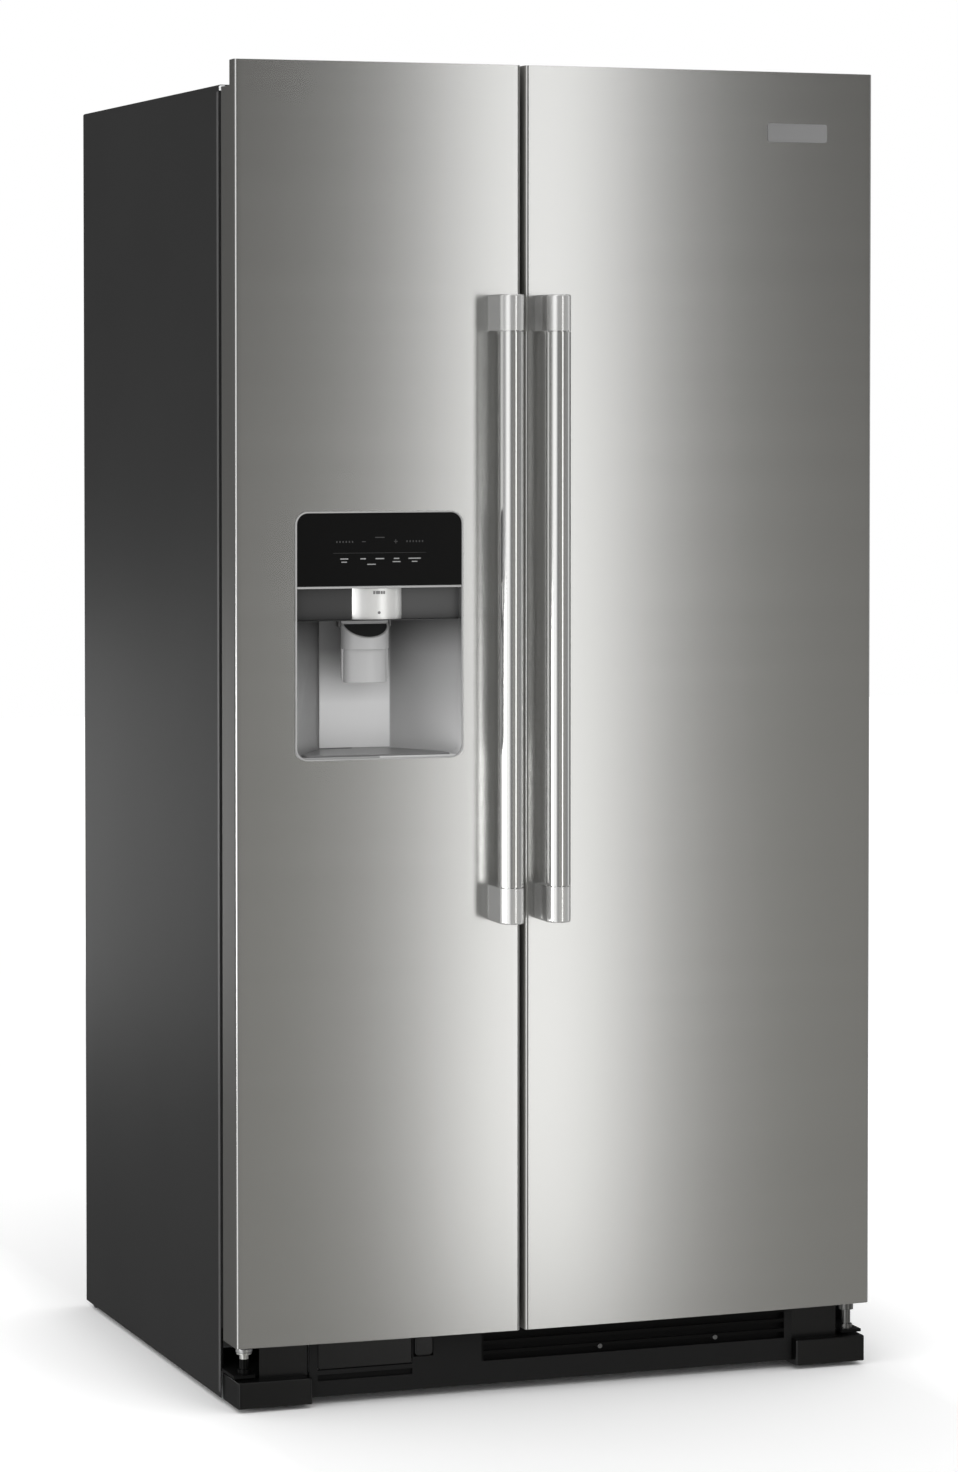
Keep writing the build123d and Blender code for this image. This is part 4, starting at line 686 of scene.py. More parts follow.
def rounded_slab(name, half, depth, height, radius, segments=10):
    """An upright panel with rounded corners, seen from the front."""
    piece = wide_box(name, half, depth, height)
    choose(piece, "EDGE", lambda middle, way: abs(way.y) > ALONG)
    bevel_chosen(radius, segments)
    return piece


def on_door(piece, x=DISPENSER_X):
    """Turn and move a piece made around x = 0 onto the bowed door."""
    only(piece)
    piece.rotation_euler = (0.0, 0.0, math.asin(x / BOW_RADIUS))
    piece.location = (x, bow(x), 0.0)
    settle()
    return piece


half = DISPENSER_W / 2 - BEZEL_GRIP
hole_z = (DISPENSER_Z[0] + BEZEL_GRIP, DISPENSER_Z[1] - BEZEL_GRIP)
hole = rounded_slab("cutter", half, (-HOLE_DEPTH, HOLE_DEPTH), hole_z, BEZEL_R - BEZEL_GRIP)
cut_away(freezer_skin, on_door(hole))
for skin, body in ((freezer_skin, "freezer_door"), (fridge_skin, "fridge_door")):
    inner, outer = sorted((corner.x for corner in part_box(body + "_skin")), key=abs)
    ease(skin, SKIN_EASE, 2, CURVED)
    dress(skin, body, "stainless", door_steel(body + "_steel", outer, inner), [body + "_skin"])
print("dispenser hole:", round(2 * half, 3), "m wide")

# %% [markdown]
# Each handle is a round steel bar between two posts, with a hairline seam where they meet.
# The bar is a cylinder with eased ends; a thinner core inside it bridges the two seams.
# A bar swept along a path would make handle and posts in one, but the seam shows that they are separate.

# %% Handle bars
BAR_EASE = 0.5 * MM
BAR_SIDES = 128
SEAM = 1.0 * MM
CORE_SET = 2.5 * MM
CORE_REACH = 8 * MM
POST_REACH = 14 * MM


def handle_lines(side):
    """Middle, radius and post height of one handle, from its frame nodes."""
    bar_low, bar_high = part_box(side + "_handle_bar")
    radius = (bar_high.x - bar_low.x) / 2
    post_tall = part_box(side + "_handle_posts")[1].z - bar_high.z + POST_REACH
    return (bar_low.x + bar_high.x) / 2, bar_low.y + radius, radius, post_tall


for side in ("freezer", "fridge"):
    x, y, radius, post_tall = handle_lines(side)
    post_low, post_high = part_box(side + "_handle_posts")
    low, high = (post_low.z + post_tall + SEAM, post_high.z - post_tall - SEAM)
    bar = rod_piece(side + "_handle_bar_round", radius, (x, y, low), (x, y, high), BAR_SIDES)
    core = rod_piece("core", radius - CORE_SET, (x, y, low - CORE_REACH), (x, y, high + CORE_REACH))
    bar = join(ease(bar, BAR_EASE), smooth(core))
    dress(bar, side + "_door", "handle_steel", stands_for=[side + "_handle_bar"])
    print(side, "handle bar:", round(high - low, 3), "m")

# %% [markdown]
# A post is half a round and half a square: round in front like the bar, square where it meets the door.
# A cylinder joined to a box would leave a crease, so the post is drawn as one outline: the front half of a
# circle, its two ends drawn back to the door, closed and pulled up to its height.

# %% Handle posts
POST_EASE = 2.6 * MM
POST_SIDES = 96
HAIR = 0.01 * MM
CLOSE = 0.1 * MM


def handle_post(name, x, y, radius, low, high):
    """A post whose front is round like the bar and whose back is square."""
    deselect()
    bpy.ops.mesh.primitive_circle_add(vertices=POST_SIDES, radius=radius, location=(x, y, low))
    piece = bpy.context.object
    piece.name = name
    settle()
    choose(piece, "VERT", lambda place, normal: place.y > y + HAIR)
    delete_chosen("VERT")
    choose(piece, "VERT", lambda place, normal: place.y > y - HAIR)
    pull(0.0, bow(x) - y + SHEET / 4, 0.0)
    bpy.ops.mesh.select_all(action="SELECT")
    bpy.ops.mesh.edge_face_add()
    pull(0.0, 0.0, high - low)
    bpy.ops.mesh.select_all(action="SELECT")
    bpy.ops.mesh.normals_make_consistent(inside=False)
    done()
    return piece


post_steel = brushed_steel("post_steel", 0.70, 0.17, HANDLE_GRAIN, 0.70)
for side in ("freezer", "fridge"):
    x, y, radius, post_tall = handle_lines(side)
    bottom, top = (corner.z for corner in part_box(side + "_handle_posts"))
    ends = []
    for low, high, outer in ((bottom, bottom + post_tall, bottom), (top - post_tall, top, top)):
        post = handle_post(side + "_handle_post", x, y, radius, low, high)
        choose(post, "FACE", lambda middle, normal: abs(middle.z - outer) < CLOSE)
        bevel_chosen(POST_EASE, segments=5)
        ends.append(ease(post, BAR_EASE, 2, CURVED))
    pair = dress(join(*ends), side + "_door", "handle_steel", post_steel, [side + "_handle_posts"])
    pair.name = side + "_handle_ends"
    print(side, "handle posts:", round(post_tall, 3), "m tall")

# %% [markdown]
# A thin silver frame borders the dispenser, and a bar across it parts the panel from the recess.
# Four strips could be mitred, but the corners are round, so a rounded slab is used: both faces are inset by
# the frame's width and bridged, which opens the middle.
# The dark panel is a slab whose upper corners follow the frame.

# %% Dispenser bezel and panel
LINE_Z = 1087 * MM
LINE_H = 3 * MM
BEZEL_W = 2.0 * MM
BEZEL_PROUD = 2.2 * MM
BEZEL_BACK = 2.2 * MM
PANEL_SET = 0.8 * MM
PANEL_T = 9 * MM
PANEL_GAP = 0.2 * MM

half = DISPENSER_W / 2
bezel = rounded_slab("dispenser_frame", half, (-BEZEL_PROUD, BEZEL_BACK), DISPENSER_Z, BEZEL_R)
choose(bezel, "FACE", lambda middle, normal: abs(normal.y) > ALONG)
bpy.ops.mesh.inset(thickness=BEZEL_W, depth=0.0)
bpy.ops.mesh.bridge_edge_loops()
done()
ease(bezel, 0.7 * MM, 3, CURVED)
line_z = (LINE_Z - LINE_H / 2, LINE_Z + LINE_H / 2)
line = wide_box("line", half - BEZEL_W, (-BEZEL_PROUD / 2, BEZEL_BACK), line_z)
bezel = on_door(join(bezel, ease(line, 0.8 * MM, 3)))
dress(bezel, "freezer_door", "silver_plastic", stands_for=["dispenser_bezel"])

half = DISPENSER_W / 2 - BEZEL_W - PANEL_GAP
panel_face = PANEL_SET - BEZEL_PROUD
panel_z = (line_z[1] + PANEL_GAP, DISPENSER_Z[1] - BEZEL_W - PANEL_GAP)
panel = wide_box("dispenser_panel", half, (panel_face, panel_face + PANEL_T), panel_z)
choose(panel, "EDGE", lambda middle, way: abs(way.y) > ALONG and middle.z > LINE_Z + BEZEL_R)
bevel_chosen(BEZEL_R - BEZEL_W, segments=10)
panel = on_door(ease(panel, 0.4 * MM, 2, CURVED))
dress(panel, "freezer_door", "panel_black", stands_for=["control_panel"])
print("panel:", round(panel_z[1] - panel_z[0], 3), "m tall")

# %% [markdown]
# The panel carries two level scales, a minus and a plus, a small display bar and plain label bars.
# Ink could be painted by the material, but a thin raised bar stays sharp in every view and in the export.
# One bar is modelled, and each mark is a stretched copy of it.

# %% Panel marks
INK = 0.12 * MM
INK_EASE = 0.05 * MM
SCALE_Z = 1147.0
LABEL_Z = 1124.5
SECOND_Z = 1120.3
TICKS = 6
TICK_START = 37.5
TICK_STEP = 4.3
SIGN_X = 22
LABELS = ((-49, 11, 7.6), (-23, 7.6, 0), (0, 12, 0), (23, 7.6, 11), (48, 17, 7.6))


def bar_mark():
    """A bar of ink one millimetre wide and tall, with softened edges."""
    return ease(wide_box("mark", MM / 2, (-INK, INK), (-MM / 2, MM / 2)), INK_EASE, 1)


def mark(x, z, wide, tall):
    """Place and stretch of one bar on the panel, in millimetres."""
    return ((x * MM, panel_face, z * MM), (wide, 1.0, tall))


pale, faint = [], []
for side in (-1, 1):
    for index in range(TICKS):
        faint.append(mark(side * (TICK_START + TICK_STEP * index), SCALE_Z, 1.6, 2.4))
    faint.append(mark(side * SIGN_X, SCALE_Z, 5.2, 1.0))
faint.append(mark(SIGN_X, SCALE_Z, 1.0, 5.2))
faint.append(mark(0, SCALE_Z + 5.5, 13, 1.1))
faint.append(mark(0, LABEL_Z + 7.6, 128, 0.35))
for x, wide, second in LABELS:
    pale.append(mark(x, LABEL_Z, wide, 1.5))
    if second:
        pale.append(mark(x, SECOND_Z, second, 1.3))
pale.append(mark(-11.5, SECOND_Z - 3.2, 12, 1.3))
ink_pale = moulded("ink_pale", 0.27, 0.5)
ink_faint = moulded("ink_faint", 0.045, 0.5)
for name, places, ink in (("panel_labels", pale, ink_pale), ("panel_scales", faint, ink_faint)):
    dress(on_door(copies(bar_mark(), places, name)), "freezer_door", "panel_black", ink)
print("panel marks:", len(pale), "pale and", len(faint), "faint")

# %% [markdown]
# The recess is deep, so its walls are dark under the roof, and darker on the left than on the right.
# Lamps could be set for that shade but would also change the doors, so it is painted shade: the walls' grey
# fades with height, separately in each half, the back plate darkens towards the roof, and the valance above
# fades from dark on the left to paler on the right.

# %% Recess shades
RECESS_LOW = DISPENSER_Z[0] + BEZEL_W + 2.2 * MM
ROOF_Z = 1044 * MM
MOUTH_HALF = DISPENSER_W / 2 - BEZEL_W - 0.3 * MM
CLOUDS = 60
LEFT_SHADES = [(0.1, 0.30), (0.3, 0.225), (0.5, 0.205), (0.72, 0.19), (0.97, 0.075)]
RIGHT_SHADES = [(0.1, 0.56), (0.3, 0.45), (0.5, 0.36), (0.72, 0.28), (0.97, 0.095)]
BACK_SHADES = [(0.35, 0.92), (0.75, 0.26)]


def recess_shade_fade(name, left, right):
    """Painted shade darkening with height, by shares of the recess's rise, in its left and right halves."""
    made = Finish(name)
    across, _, up = made.axes()
    rise = (up - RECESS_LOW) / (ROOF_Z - RECESS_LOW)
    halves = [made.ramp(rise, [(share, rgba(tone)) for share, tone in tones]) for tones in (left, right)]
    gloss, _ = uneven(made, CLOUDS, 0.30)
    return made.surface(Base_Color=made.mix(across > DISPENSER_X, *halves), Roughness=gloss)


def valance_shade_fade(name, left, right):
    """Painted shade: a dull grey that is darker on the left of the recess and paler on the right."""
    made = Finish(name)
    across, _, _ = made.axes()
    share = (across - (DISPENSER_X - MOUTH_HALF)) / (2 * MOUTH_HALF)
    gloss, _ = uneven(made, CLOUDS, 0.50)
    return made.surface(Base_Color=made.fade(share, left, right), Roughness=gloss, Specular_IOR_Level=0.3)


wall_painted_shade = recess_shade_fade("recess_wall_shaded", LEFT_SHADES, RIGHT_SHADES)
back_pale_shaded = recess_shade_fade("recess_back_shaded", BACK_SHADES, BACK_SHADES)
valance_shaded = valance_shade_fade("valance_shaded", 0.047, 0.080)
print("recess rise:", round(ROOF_Z - RECESS_LOW, 3), "m")

# %% [markdown]
# The recess is a tapered box with its front left open, so that a glass is guided to the middle.
# It could be cut from a block, but as a thin shell it is also right from behind the door.
# A box is pulled back and narrowed, its front face is deleted and its corners are rounded.
# Its faces are then turned inwards, and the wall's thickness grows outwards.

# %% Dispenser recess
MOUTH_DEPTH = 20 * MM
MOUTH_R = 9.0 * MM
RECESS_DEPTH = 118 * MM
BACK_HALF = 50.5 * MM
BACK_R = 2.5 * MM
HOUSING_T = 2.6 * MM
VALANCE_TOP = LINE_Z - LINE_H / 2 - 0.4 * MM
ROOF_CUT_Y = (-10 * MM, MOUTH_DEPTH - 4 * MM)
ROOF_CUT_Z = (ROOF_Z - 0.5 * MM, ROOF_Z + 6 * MM)
LUG_X = 35 * MM
LUG_HALF = 2 * MM
LUG_Y = (68.5 * MM, 79.5 * MM)
LUG_Z = (ROOF_Z - 13 * MM, ROOF_Z + MM)

recess = wide_box("dispenser_recess", MOUTH_HALF, (0, MOUTH_DEPTH), (RECESS_LOW, ROOF_Z))
choose(recess, "FACE", lambda middle, normal: normal.y > ALONG)
pull(0.0, RECESS_DEPTH - MOUTH_DEPTH, 0.0)
bpy.ops.transform.resize(value=(BACK_HALF / MOUTH_HALF, 1.0, 1.0), center_override=(0.0, 0.0, ROOF_Z))
done()
choose(recess, "FACE", lambda middle, normal: normal.y < -ALONG)
delete_chosen("FACE")
choose(recess, "EDGE", lambda middle, way: abs(way.y) > ALONG and middle.z < RECESS_LOW + MM
       and middle.y < MOUTH_DEPTH)
bevel_chosen(MOUTH_R, segments=6)
choose(recess, "EDGE", lambda middle, way: abs(way.z) > ALONG and middle.y > MOUTH_DEPTH + MM)
bevel_chosen(BACK_R, segments=4)
choose_all(recess)
bpy.ops.mesh.normals_make_consistent(inside=True)
done()
modify(recess, "SOLIDIFY", thickness=HOUSING_T, offset=-1.0)
cut_away(recess, wide_box("cutter", MOUTH_HALF - HAIR, ROOF_CUT_Y, ROOF_CUT_Z))
cheek = wide_box("cheek", HOUSING_T / 2, (0, MOUTH_DEPTH), (ROOF_Z - MM, VALANCE_TOP))
cheeks = copies(ease(cheek, 0.3 * MM), both_sides(MOUTH_HALF + HOUSING_T / 2), "cheeks")
lug = wide_box("lug", LUG_HALF, LUG_Y, LUG_Z)
lugs = copies(ease(lug, 0.6 * MM), both_sides(LUG_X), "lugs")
recess = on_door(join(ease(recess, 0.8 * MM, 2, CURVED), lugs, cheeks))
# The recess walls carry painted shade: darker under the roof and on the left.
dress(recess, "freezer_door", "recess_grey", wall_painted_shade, ["dispenser_housing"])
print("recess:", RECESS_DEPTH, "m deep")

# %% [markdown]
# A valance hides the top of the recess, a pale plate covers its back, and a drip tray lies on its floor.
# The tray could be a flat patch of colour, but its rim shows in the picture, so it is a slab that is pulled
# back and narrowed with the recess.

# %% Valance, back plate and drip tray
VALANCE_Y = (MOUTH_DEPTH - 7 * MM, MOUTH_DEPTH + MM)
BACK_INSET = 1.2 * MM
BACK_Y = (RECESS_DEPTH - 1.6 * MM, RECESS_DEPTH - 0.1 * MM)
BACK_Z = (RECESS_LOW + 3 * MM, ROOF_Z - MM)
TRAY_INSET = 14 * MM
TRAY_Y = (6 * MM, 30 * MM)
TRAY_Z = (RECESS_LOW - 0.5 * MM, RECESS_LOW + 2.2 * MM)
TRAY_DEPTH = 80 * MM
TRAY_NARROWS = 0.52

# The valance's grey carries painted shade, darker on the left.
valance = wide_box("recess_valance", MOUTH_HALF, VALANCE_Y, (ROOF_Z - 2 * MM, VALANCE_TOP))
dress(on_door(ease(valance, 0.4 * MM)), "freezer_door", "recess_grey", valance_shaded)
# The pale back plate carries painted shade, darker towards the roof.
back_plate = wide_box("recess_back_plate", BACK_HALF - BACK_INSET, BACK_Y, BACK_Z)
dress(on_door(ease(back_plate, 0.5 * MM)), "freezer_door", "silver_plastic", back_pale_shaded)

half = MOUTH_HALF - TRAY_INSET
tray = wide_box("drip_tray", half, TRAY_Y, TRAY_Z)
choose(tray, "FACE", lambda middle, normal: normal.y > ALONG)
pull(0.0, TRAY_DEPTH, 0.0)
bpy.ops.transform.resize(value=(TRAY_NARROWS, 1.0, 1.0), center_override=(0.0, 0.0, RECESS_LOW))
done()
tray_grey = moulded("tray_grey", 0.19, 0.3, 900.0, 0.00001)
dress(on_door(ease(tray, 1.4 * MM, 3)), "freezer_door", "recess_grey", tray_grey)
print("drip tray:", round(2 * half, 3), "m wide in front")

# %% [markdown]
# The chute cover is a silver half round in front of the valance, with a few small printed marks.
# A profile could be spun, but an oval bar that is cut flat at its back needs one cut and has a true curve.

# %% Chute cover
CHUTE_HALF = 37 * MM
CHUTE_BULGE = 18 * MM
CHUTE_BACK = MOUTH_DEPTH - 2.2 * MM
CHUTE_FRONT = MOUTH_DEPTH - CHUTE_BULGE
OVAL_SIDES = 96
PRINT_Z = VALANCE_TOP - 5.5 * MM
PRINTS = ((-6.7, 2.6), (-1.6, 5.6), (3.5, 2.6), (6.9, 2.2))
DROP_R = 2.0 * MM
DROP_Z = ROOF_Z + 9 * MM

cover = rod_piece("chute_front", (CHUTE_HALF, CHUTE_BULGE), (0, MOUTH_DEPTH, ROOF_Z),
                  (0, MOUTH_DEPTH, VALANCE_TOP), OVAL_SIDES)
slice_off(cover, (0, CHUTE_BACK, 0), (0, 1, 0))
chute_silver = brushed_steel("chute_silver", 0.86, 0.30, (90.0, 90.0, 90.0), 0.55)
cover = on_door(ease(cover, 0.7 * MM, 3, angle=45.0))
dress(cover, "freezer_door", "silver_plastic", chute_silver, ["chute_cover"])

bars = [((x * MM, CHUTE_FRONT, PRINT_Z), (wide, 6.0, 4.0)) for x, wide in PRINTS]
prints = copies(bar_mark(), bars, "chute_marks")
drop = rod_piece("drop", DROP_R, (0, CHUTE_FRONT - INK, DROP_Z), (0, CHUTE_FRONT + MM, DROP_Z), 24)
ink_grey = moulded("ink_grey", 0.16, 0.5)
dress(on_door(join(prints, ease(drop, INK_EASE, 1))), "freezer_door", "silver_plastic", ink_grey)
print("chute marks:", len(bars) + 1)

# %% [markdown]
# The paddle has an open cup that guides the ice, a dark plug in it as painted shade, and a rounded face for
# the glass.
# One smooth sculpted form would hide how it works, so each is half of an upright oval, as a wall or solid.
# A slanted cut opens the cup towards the front; a lever and a barrel at the back carry the hinge.

# %% Dispenser paddle
PADDLE_HALF = 32.5 * MM
PADDLE_FRONT = 68.5 * MM
PIVOT = (74 * MM, 1037 * MM)
PADDLE_LOW = PIVOT[1] - 80 * MM
CUP_Z = (PADDLE_LOW + 45 * MM, PADDLE_LOW + 80 * MM)
CUP_BULGE = 24 * MM
CUP_WALL = 2.4 * MM
CUP_CUT = (0, PADDLE_FRONT - CUP_BULGE, PADDLE_LOW + 60 * MM)
SLANT = Vector((0, -20 * MM, 24 * MM)).normalized()
SHADE_PLUG_SET = 1.8 * MM
SHADE_PLUG_CUT = (0, PADDLE_FRONT - CUP_BULGE, PADDLE_LOW + 58.5 * MM)
FACE_TOP = PADDLE_LOW + 46 * MM
FACE_SET = 2.5 * MM
FACE_BULGE = 17 * MM
FACE_R = 4 * MM
LEVER_Y = (PADDLE_FRONT - 0.5 * MM, PADDLE_FRONT + 4 * MM)
LEVER_Z = (PADDLE_LOW + 4 * MM, PIVOT[1])
BARREL_R = 5.5 * MM


def half_oval(name, across, deep, low, high, thick=0.0):
    """The front half of an upright oval, solid or as a wall."""
    piece = rod_piece(name, (across, deep), (0, PADDLE_FRONT, low), (0, PADDLE_FRONT, high), OVAL_SIDES,
                      "NOTHING" if thick else "NGON")
    slice_off(piece, (0, PADDLE_FRONT, 0), (0, 1, 0), not thick)
    if thick:
        modify(piece, "SOLIDIFY", thickness=thick, offset=-1.0)
    return piece


cup = half_oval("cup", PADDLE_HALF, CUP_BULGE, *CUP_Z, CUP_WALL)
slice_off(cup, CUP_CUT, SLANT)
# A dark plug just below the cup's rim is painted shade inside the cup.
shade_plug = half_oval("paddle_cup_shade", PADDLE_HALF - SHADE_PLUG_SET, CUP_BULGE - SHADE_PLUG_SET, FACE_TOP, CUP_Z[1])
slice_off(shade_plug, SHADE_PLUG_CUT, SLANT)
cup_shade_dark = moulded("cup_shade_dark", 0.035, 0.5)
dress(on_door(ease(shade_plug, 0.4 * MM)), "dispenser_paddle", "black_plastic", cup_shade_dark)

face = half_oval("face", PADDLE_HALF - FACE_SET, FACE_BULGE, PADDLE_LOW, FACE_TOP)
choose(face, "EDGE", lambda middle, way: middle.z < PADDLE_LOW + CLOSE)
bevel_chosen(FACE_R, segments=5)
lever = wide_box("lever", PADDLE_HALF, LEVER_Y, LEVER_Z)
barrel = rod_piece("barrel", BARREL_R, (-PADDLE_HALF, *PIVOT), (PADDLE_HALF, *PIVOT), 48)
paddle = join(ease(face, 0.5 * MM, 2, CURVED), ease(cup, 0.6 * MM, 2, CURVED),
              ease(lever, 1.2 * MM, 3), ease(barrel, 0.6 * MM))
paddle.name = "paddle_lever"
paddle_grey = moulded("paddle_grey", 0.50, 0.30, 900.0, 0.00001)
dress(on_door(paddle), "dispenser_paddle", "recess_grey", paddle_grey, ["dispenser_paddle"])
print("paddle:", round(CUP_Z[1] - PADDLE_LOW, 3), "m tall")

# %% [markdown]
# A small satin plate lies on the upper corner of the right door.
# A flat box would look stuck on; a rounded slab with its face inset has a rim that catches the light.

# %% Plain plate
PLATE_X = 341.5 * MM
PLATE_HALF = 44.5 * MM
PLATE_Z = (1683 * MM, 1708 * MM)
PLATE_Y = (-1.4 * MM, 0.8 * MM)
PLATE_R = 3 * MM
PLATE_RIM = 1.6 * MM

plate = rounded_slab("plain_plate", PLATE_HALF, PLATE_Y, PLATE_Z, PLATE_R, 5)
choose(plate, "FACE", lambda middle, normal: normal.y < -ALONG)
bpy.ops.mesh.inset(thickness=PLATE_RIM, depth=-0.4 * MM)
done()
plate_grey = moulded("plate_grey", 0.17, 0.42, 900.0, 0.00001)
dress(on_door(ease(plate, 0.3 * MM, angle=40.0), PLATE_X), "fridge_door", "silver_plastic", plate_grey)
print("plate:", round(2 * PLATE_HALF, 3), "m wide")

# %% [markdown]
# The grille, the filter cap and its button are black mouldings whose rounded edges catch lines of light.
# They could be modelled anew, but their forms are right already, so a copy of each is merged into whole
# faces and only its edges are rounded.
# The louvre blades lie in deep shade, painted into the grille's finish as a darker black; the foot covers
# are glossier.

# %% Rounded base mouldings
LOUVRE_START = -106 * MM
LOUVRE_END = 345 * MM
BLADES_END = LOUVRE_END - 8 * MM
RAIL_TOP = 42.5 * MM
RAIL_BLACK = rgba(0.011)
BLADE_SHADE = rgba(0.0012)


def softened(node, name, width, segments):
    """A copy of a frame node, merged into whole faces, with rounded edges."""
    piece = bpy.data.objects.new(name, NODES[node].data.copy())
    bpy.context.scene.collection.objects.link(piece)
    choose_all(piece)
    bpy.ops.mesh.remove_doubles(threshold=HAIR)
    bpy.ops.mesh.dissolve_limited(angle_limit=math.radians(1.0))
    done()
    return ease(piece, width, segments)


def shaded_grille_finish(name):
    """Black plastic with painted shade: darker where the louvre blades lie set back."""
    made = Finish(name)
    across, _, up = made.axes()
    blade_shade = (up > RAIL_TOP) * (across > LOUVRE_START) * (across < BLADES_END)
    gloss, grain = uneven(made, 1000.0, 0.40)
    return made.surface(
        Base_Color=made.mix(blade_shade, RAIL_BLACK, BLADE_SHADE),
        Roughness=gloss,
        Normal=made.bump(grain, 0.00004),
        Specular_IOR_Level=0.12)


gloss_black = moulded("gloss_black", 0.002, 0.25, 1000.0, 0.00002, gloss_level=0.36)
MOULDINGS = (
    ("base_grille", "grille_front", 0.8 * MM, 2, "cabinet", shaded_grille_finish("grille_black_shaded")),
    ("water_filter", "filter_cap", 1.0 * MM, 2, "water_filter", gloss_black),
    ("filter_button", "button_front", 2.2 * MM, 4, "filter_button", gloss_black))
for node, name, width, segments, body, finish in MOULDINGS:
    dress(softened(node, name, width, segments), body, "black_plastic", finish, [node])
    print(name, "rounded by", width, "m")
NODES["foot_covers"].data.materials[0] = gloss_black

# %% [markdown]
# A dark baffle behind the louvres stops the view under the cabinet, and an apron does so under the cap.
# Their black stands in for the shade under the cabinet.
# A black card behind everything would do for one view; these two thin sheets hold from every side.
# A washer sits on the left hinge pin, and two round clips hold the grille: short bars with eased edges.

# %% Base baffle, washer and clips
BAFFLE_Y = (-315.5 * MM, -314 * MM)
BAFFLE_Z = (14 * MM, 82 * MM)
APRON_Y = (-323.5 * MM, -322.5 * MM)
APRON_Z = (30 * MM, 46.5 * MM)
APRON_LAP = 2 * MM
WASHER_AT = (-435.5 * MM, -315.5 * MM)
WASHER_Z = (75.5 * MM, 82 * MM)
WASHER_R = 11 * MM
CLIPS = (65 * MM, 234 * MM)
CLIP_Z = 50.5 * MM
CLIP_R = 3.4 * MM
CLIP_FRONT = -328.5 * MM

baffle = box_piece("grille_baffle", (LOUVRE_START, BAFFLE_Y[0], BAFFLE_Z[0]),
                   (LOUVRE_END, BAFFLE_Y[1], BAFFLE_Z[1]))
cap_low, cap_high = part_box("water_filter")
apron = box_piece("apron", (cap_low.x - APRON_LAP, APRON_Y[0], APRON_Z[0]),
                  (cap_high.x + APRON_LAP, APRON_Y[1], APRON_Z[1]))
dress(join(ease(baffle, 0.4 * MM), ease(apron, 0.3 * MM)), "cabinet", "black_plastic", black_paint_and_shade)
washer = rod_piece("hinge_washer", WASHER_R, (*WASHER_AT, WASHER_Z[0]), (*WASHER_AT, WASHER_Z[1]))
dress(ease(washer, 1.6 * MM, 3), "cabinet", "zinc_steel")
clip = rod_piece("clip", CLIP_R, (0, CLIP_FRONT, CLIP_Z), (0, BAFFLE_Y[0], CLIP_Z), 32)
clips = copies(ease(clip, 0.8 * MM, 3), [((x, 0, 0),) for x in CLIPS], "grille_clips")
clip_steel = plated_steel("clip_steel", 0.16, 0.30)
dress(clips, "cabinet", "zinc_steel", clip_steel)
print("grille clips:", len(CLIPS))

# %% [markdown]
# Slotted screws hold the machine cover on the back.
# Their heads could be painted dots, but a real head throws a small shadow, so one is modelled and copied.

# %% Screws on the machine cover
SCREW_R = 4.2 * MM
SCREW_Y = (-0.6 * MM, 1.2 * MM)
SLOT_HALF = 3 * MM
SLOT_Y = (0.6 * MM, 2 * MM)
SLOT_Z = (-0.5 * MM, 0.5 * MM)
SCREW_COLUMNS = (-0.40, -0.20, 0.0, 0.20, 0.40)
SCREW_DROP = 9 * MM
LOWER_SCREWS = 0.13

cover_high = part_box("machine_cover")[1]
head = rod_piece("screw", SCREW_R, (0, SCREW_Y[0], 0), (0, SCREW_Y[1], 0), 32)
screw = ease(cut_away(head, wide_box("cutter", SLOT_HALF, SLOT_Y, SLOT_Z)), 0.3 * MM)
rows = [(x, cover_high.z - SCREW_DROP) for x in SCREW_COLUMNS]
rows += [(SCREW_COLUMNS[0], LOWER_SCREWS), (SCREW_COLUMNS[-1], LOWER_SCREWS)]
places = [((x, cover_high.y, z),) for x, z in rows]
dress(copies(screw, places, "back_screws"), "cabinet", "zinc_steel")
print("screws:", len(places))

# %% [markdown]
# The case is a folded sheet: its front edges catch the light, and a pale clip closes its top corner.
# That line of light is a painted highlight; it could be drawn by the case's paint, but a narrow raised
# strip of paler grey keeps it at the edge in every view.

# %% Case edges and corner clip
CORNER_LOW = (-453.5 * MM, -278.5 * MM, 1741 * MM)
CORNER_HIGH = (-446.5 * MM, -270.6 * MM, 1747.5 * MM)
FLANGE_X = 454.25 * MM
FLANGE_HALF = 0.45 * MM
FLANGE_Y = (-270.9 * MM, -263 * MM)
FLANGE_Z = (14 * MM, 1740 * MM)

corner_clip = box_piece("corner_clip", CORNER_LOW, CORNER_HIGH)
dress(ease(corner_clip, 0.8 * MM, 3), "cabinet", "white_plastic")
flange = wide_box("flange", FLANGE_HALF, FLANGE_Y, FLANGE_Z)
edge_highlights = copies(ease(flange, 0.3 * MM), both_sides(FLANGE_X), "front_edge_highlights")
# The strip's paler grey is a painted highlight where the folded edge catches the light.
flange_highlight = moulded("flange_highlight", 0.07, 0.45, 900.0, 0.00002)
dress(edge_highlights, "cabinet", "case_paint", flange_highlight)
print("case edges:", round(FLANGE_Z[1] - FLANGE_Z[0], 3), "m tall")

# %% [markdown]
# The camera stands left of the middle and a little above half height, and looks slightly down.
# A near, wide lens would spread the edges, so a long lens from about six metres keeps them nearly parallel.
# A small shift moves the picture instead of tilting the camera further, which would make the uprights lean.

# %% Camera
CAMERA_PLACE = (-2.1705, -6.0473, 1.3512)
CAMERA_YAW = 19.8155
CAMERA_PITCH = -1.8792
FOCAL_PIXELS = 4554.2
SHIFT_PIXELS = -200.0
IMAGE_HEIGHT = 1472.0
SENSOR = 36.0

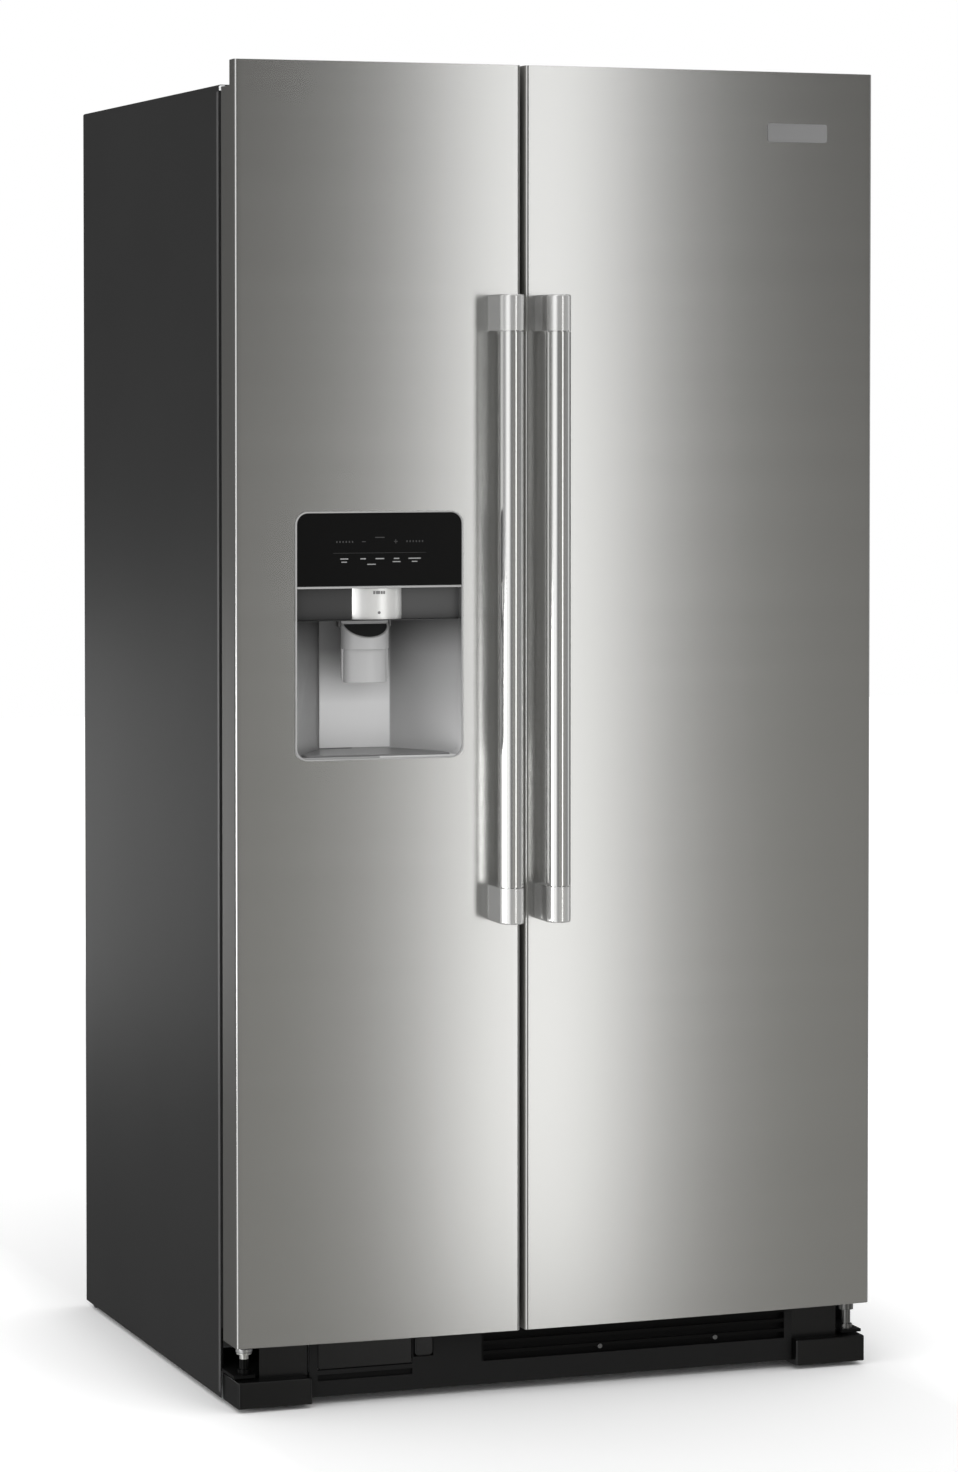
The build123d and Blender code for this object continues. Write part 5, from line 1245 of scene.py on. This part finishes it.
deselect()
turn = (math.radians(90 + CAMERA_PITCH), 0.0, math.radians(-CAMERA_YAW))
bpy.ops.object.camera_add(location=CAMERA_PLACE, rotation=turn)
camera = bpy.context.object
camera.data.sensor_width = SENSOR
camera.data.lens = FOCAL_PIXELS / IMAGE_HEIGHT * SENSOR
camera.data.shift_y = SHIFT_PIXELS / IMAGE_HEIGHT
bpy.context.scene.camera = camera
bpy.context.scene.view_settings.view_transform = "Standard"
print("lens", round(camera.data.lens, 1), "mm")

# %% [markdown]
# A tall lamp stands in front on the right, where the bowed doors mirror it along their middle.
# A broad lamp from the left lights the case side, a small one behind adds a sheen along it, and one
# overhead lights the top and the floor.
# Point lamps would be simpler, but steel mirrors its lamps, so their shape matters and they are rectangles.


# %% Lamps
def soft_lamp(name, place, target, size, power):
    """A rectangular lamp aimed at a point."""
    deselect()
    bpy.ops.object.light_add(type="AREA", location=place)
    lamp = bpy.context.object
    lamp.name = name
    lamp.data.shape = "RECTANGLE"
    lamp.data.size, lamp.data.size_y = size
    lamp.data.energy = power
    aim = Vector(target) - Vector(place)
    lamp.rotation_euler = aim.to_track_quat("-Z", "Y").to_euler()


soft_lamp("tall_lamp", place=(1.4, -4.3, 1.48), target=(-0.05, -0.35, 1.48), size=(0.56, 4.65), power=17.2)
soft_lamp("left_lamp", place=(-2.9, -0.9, 0.55), target=(-0.4, 0.1, 0.62), size=(0.9, 0.7), power=14)
soft_lamp("sheen_lamp", place=(-0.84, 2.6, 0.48), target=(-0.455, 0.1, 0.50), size=(0.36, 0.8), power=3.3)
soft_lamp("top_lamp", place=(0.2, -0.8, 4.2), target=(0.0, 0.0, 0.8), size=(3.0, 3.0), power=20)

# %% [markdown]
# The background is plain white, but steel that mirrored white all round would lose its shading.
# Black cards could stand round the object; a world that shows mirror rays a dim room does the same.
# Ahead, the room darkens with height, so the doors fade towards their edges.
# Further round, pale strips by compass bearing draw the fine bright lines along the handles.

# %% Room
ROOM_GLOW = 1.2
ROOM_TINT = (1.0, 0.978, 0.918)
AHEAD = [(0.38, 0.295), (0.46, 0.240), (0.53, 0.136), (0.58, 0.110)]
STRIPS = [
    (0.0, 0.10), (0.095, 0.10), (0.118, 0.62), (0.15, 0.62), (0.185, 0.30), (0.24, 0.34),
    (0.28, 0.55), (0.318, 1.25), (0.372, 1.25), (0.40, 0.80), (0.422, 0.22), (0.45, 0.15),
    (0.667, 0.22), (0.715, 0.25), (0.735, 0.72), (0.77, 0.72), (0.80, 0.20), (1.0, 0.10)]
ASIDE = [(0.45, 1.0), (0.475, 0.0), (0.62, 0.0), (0.66, 1.0)]

world = bpy.data.worlds.new("studio")
bpy.context.scene.world = world
room = Finish("studio", world)
mirrored = room.node("ShaderNodeLightPath", output=3)
across, along, height = room.split(room.node("ShaderNodeTexCoord", output=0))
bearing = across.angle_from(along * -1.0) / (2 * math.pi) + 0.5
ahead = room.ramp(height + 0.5, [(place, rgba(tone / ROOM_GLOW, ROOM_TINT)) for place, tone in AHEAD])
around = room.ramp(bearing, [(place, rgba(tone / ROOM_GLOW)) for place, tone in STRIPS])
aside = room.ramp(bearing, [(place, rgba(share)) for place, share in ASIDE])
level = room.mix(aside, ahead, around)
white = room.node("ShaderNodeBackground", {}, {"Color": rgba(1.0), "Strength": 1.0})
dim = room.node("ShaderNodeBackground", {}, {"Color": level, "Strength": ROOM_GLOW})
both = room.node("ShaderNodeMixShader", {}, {0: mirrored, 1: white, 2: dim})
room.node("ShaderNodeOutputWorld", {}, {"Surface": both})
print("room strips:", len(STRIPS))

# %% [markdown]
# The floor is white and keeps the object's shadow.
# A shadow on its own could be laid under a cut-out, but a real floor also throws light onto the base.
# Beside the cabinet the floor glows a little, painted light that makes the shadow fade out towards the
# sides.

# %% Floor
FLOOR_SIZE = 24.0
PAINTED_GLOW = [(HALF_WIDTH, 0.01), (0.54, 0.16), (0.66, 0.26)]

deselect()
bpy.ops.mesh.primitive_plane_add(size=FLOOR_SIZE, location=(0, 0, 0))
floor = bpy.context.object
floor.name = "floor"
floor.visible_glossy = False
ground = Finish("floor_white")
beside = ground.axes()[0].size()
floor_white = ground.surface(
    Base_Color=ground.fade(ground.noise((2, 2, 2)), 0.97, 0.98),
    Roughness=0.9,
    Specular_IOR_Level=0.0,
    # The glow beside the cabinet is painted light that thins the shadow.
    Emission_Color=ground.ramp(beside, [(place, rgba(glow_level)) for place, glow_level in PAINTED_GLOW]),
    Emission_Strength=1.0)
floor.data.materials.append(floor_white)
print("floor:", FLOOR_SIZE, "m wide")
